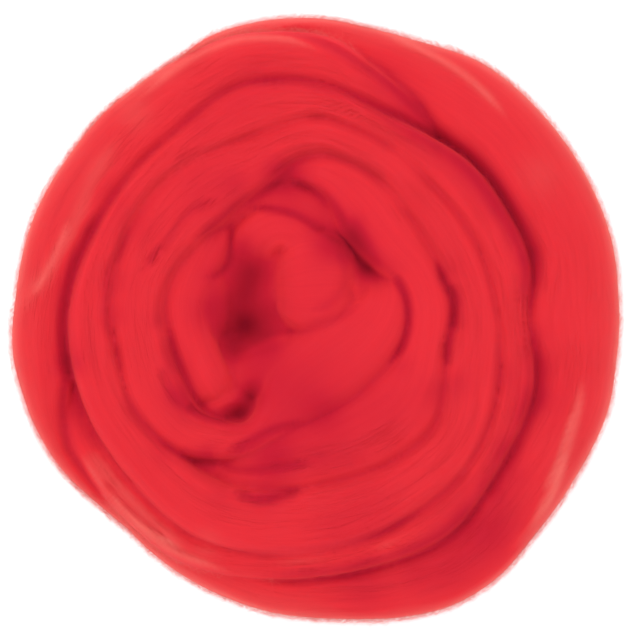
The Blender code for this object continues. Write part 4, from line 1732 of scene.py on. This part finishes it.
class WOOL_OT_build_studio(bpy.types.Operator):
    """Set the floor, the soft lamp, the even light all round and the camera"""

    bl_idname = "wool.build_studio"
    bl_label = "Build the studio"

    def execute(self, context):
        scene = context.scene
        settings = scene.studio_settings
        half = FLOOR_SIZE / 2
        corners = [(-half, -half, 0), (half, -half, 0), (half, half, 0), (-half, half, 0)]
        mesh = bpy.data.meshes.new("floor")
        mesh.from_pydata(corners, [], [(0, 1, 2, 3)])
        mesh.materials.append(floor_material())
        floor = bpy.data.objects.new("floor", mesh)
        floor.location.z = -FLOOR_DROP
        scene.collection.objects.link(floor)
        lamp_data = bpy.data.lights.new("overhead_lamp", "AREA")
        lamp_data.shape = "DISK"
        lamp_data.size = LAMP_SIZE
        lamp_data.energy = settings.lamp_power
        lamp = bpy.data.objects.new("overhead_lamp", lamp_data)
        lamp.location = LAMP_PLACE
        lamp.rotation_euler = (*map(math.radians, LAMP_TILT), 0)
        scene.collection.objects.link(lamp)
        world = bpy.data.worlds.new("even_light")
        world.use_nodes = True
        sky = world.node_tree.nodes["Background"]
        sky.inputs["Color"].default_value = (1, 1, 1, 1)
        sky.inputs["Strength"].default_value = settings.sky_strength
        scene.world = world
        scene.view_settings.view_transform = "Standard"
        camera_data = bpy.data.cameras.new("camera")
        camera_data.sensor_width = SENSOR_WIDTH
        distance = settings.camera_height - FRAMED_HEIGHT
        camera_data.lens = SENSOR_WIDTH * distance / settings.view_width
        camera_data.clip_end = CAMERA_REACH
        camera = bpy.data.objects.new("camera", camera_data)
        camera.location = (*CAMERA_OFFSET, settings.camera_height)
        scene.collection.objects.link(camera)
        scene.camera = camera
        return {"FINISHED"}


class WOOL_PT_nest(bpy.types.Panel):
    """Lists the nest's settings and the steps that build it."""

    bl_idname = "WOOL_PT_nest"
    bl_label = "Wool roving nest"
    bl_space_type = "VIEW_3D"
    bl_region_type = "UI"
    bl_category = "Wool"

    def draw(self, context):
        for label, kind in GROUPS.items():
            box = self.layout.box()
            for name in kind.__annotations__:
                box.prop(getattr(context.scene, label), name)
        for step in STEPS:
            self.layout.operator(step.bl_idname)


STEPS = (
    WOOL_OT_build_studio,
    WOOL_OT_wind_nest,
    WOOL_OT_comb_fibres,
    WOOL_OT_raise_flyaways,
)
GROUPS = {"nest_sizes": NestSizes, "nest_colours": NestColours, "studio_settings": StudioSettings}


def register():
    """Adds the settings, the steps and the panel."""
    for name, group in GROUPS.items():
        bpy.utils.register_class(group)
        setattr(bpy.types.Scene, name, bpy.props.PointerProperty(type=group))
    for kind in (*STEPS, WOOL_PT_nest):
        bpy.utils.register_class(kind)


def unregister():
    """Takes them away again."""
    for kind in (WOOL_PT_nest, *reversed(STEPS)):
        bpy.utils.unregister_class(kind)
    for name, group in GROUPS.items():
        delattr(bpy.types.Scene, name)
        bpy.utils.unregister_class(group)


def main():
    """Builds the scene."""
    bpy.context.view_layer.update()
    register()
    for step in STEPS:
        area, name = step.bl_idname.split(".")
        getattr(getattr(bpy.ops, area), name)()


if __name__ == "__main__":
    main()
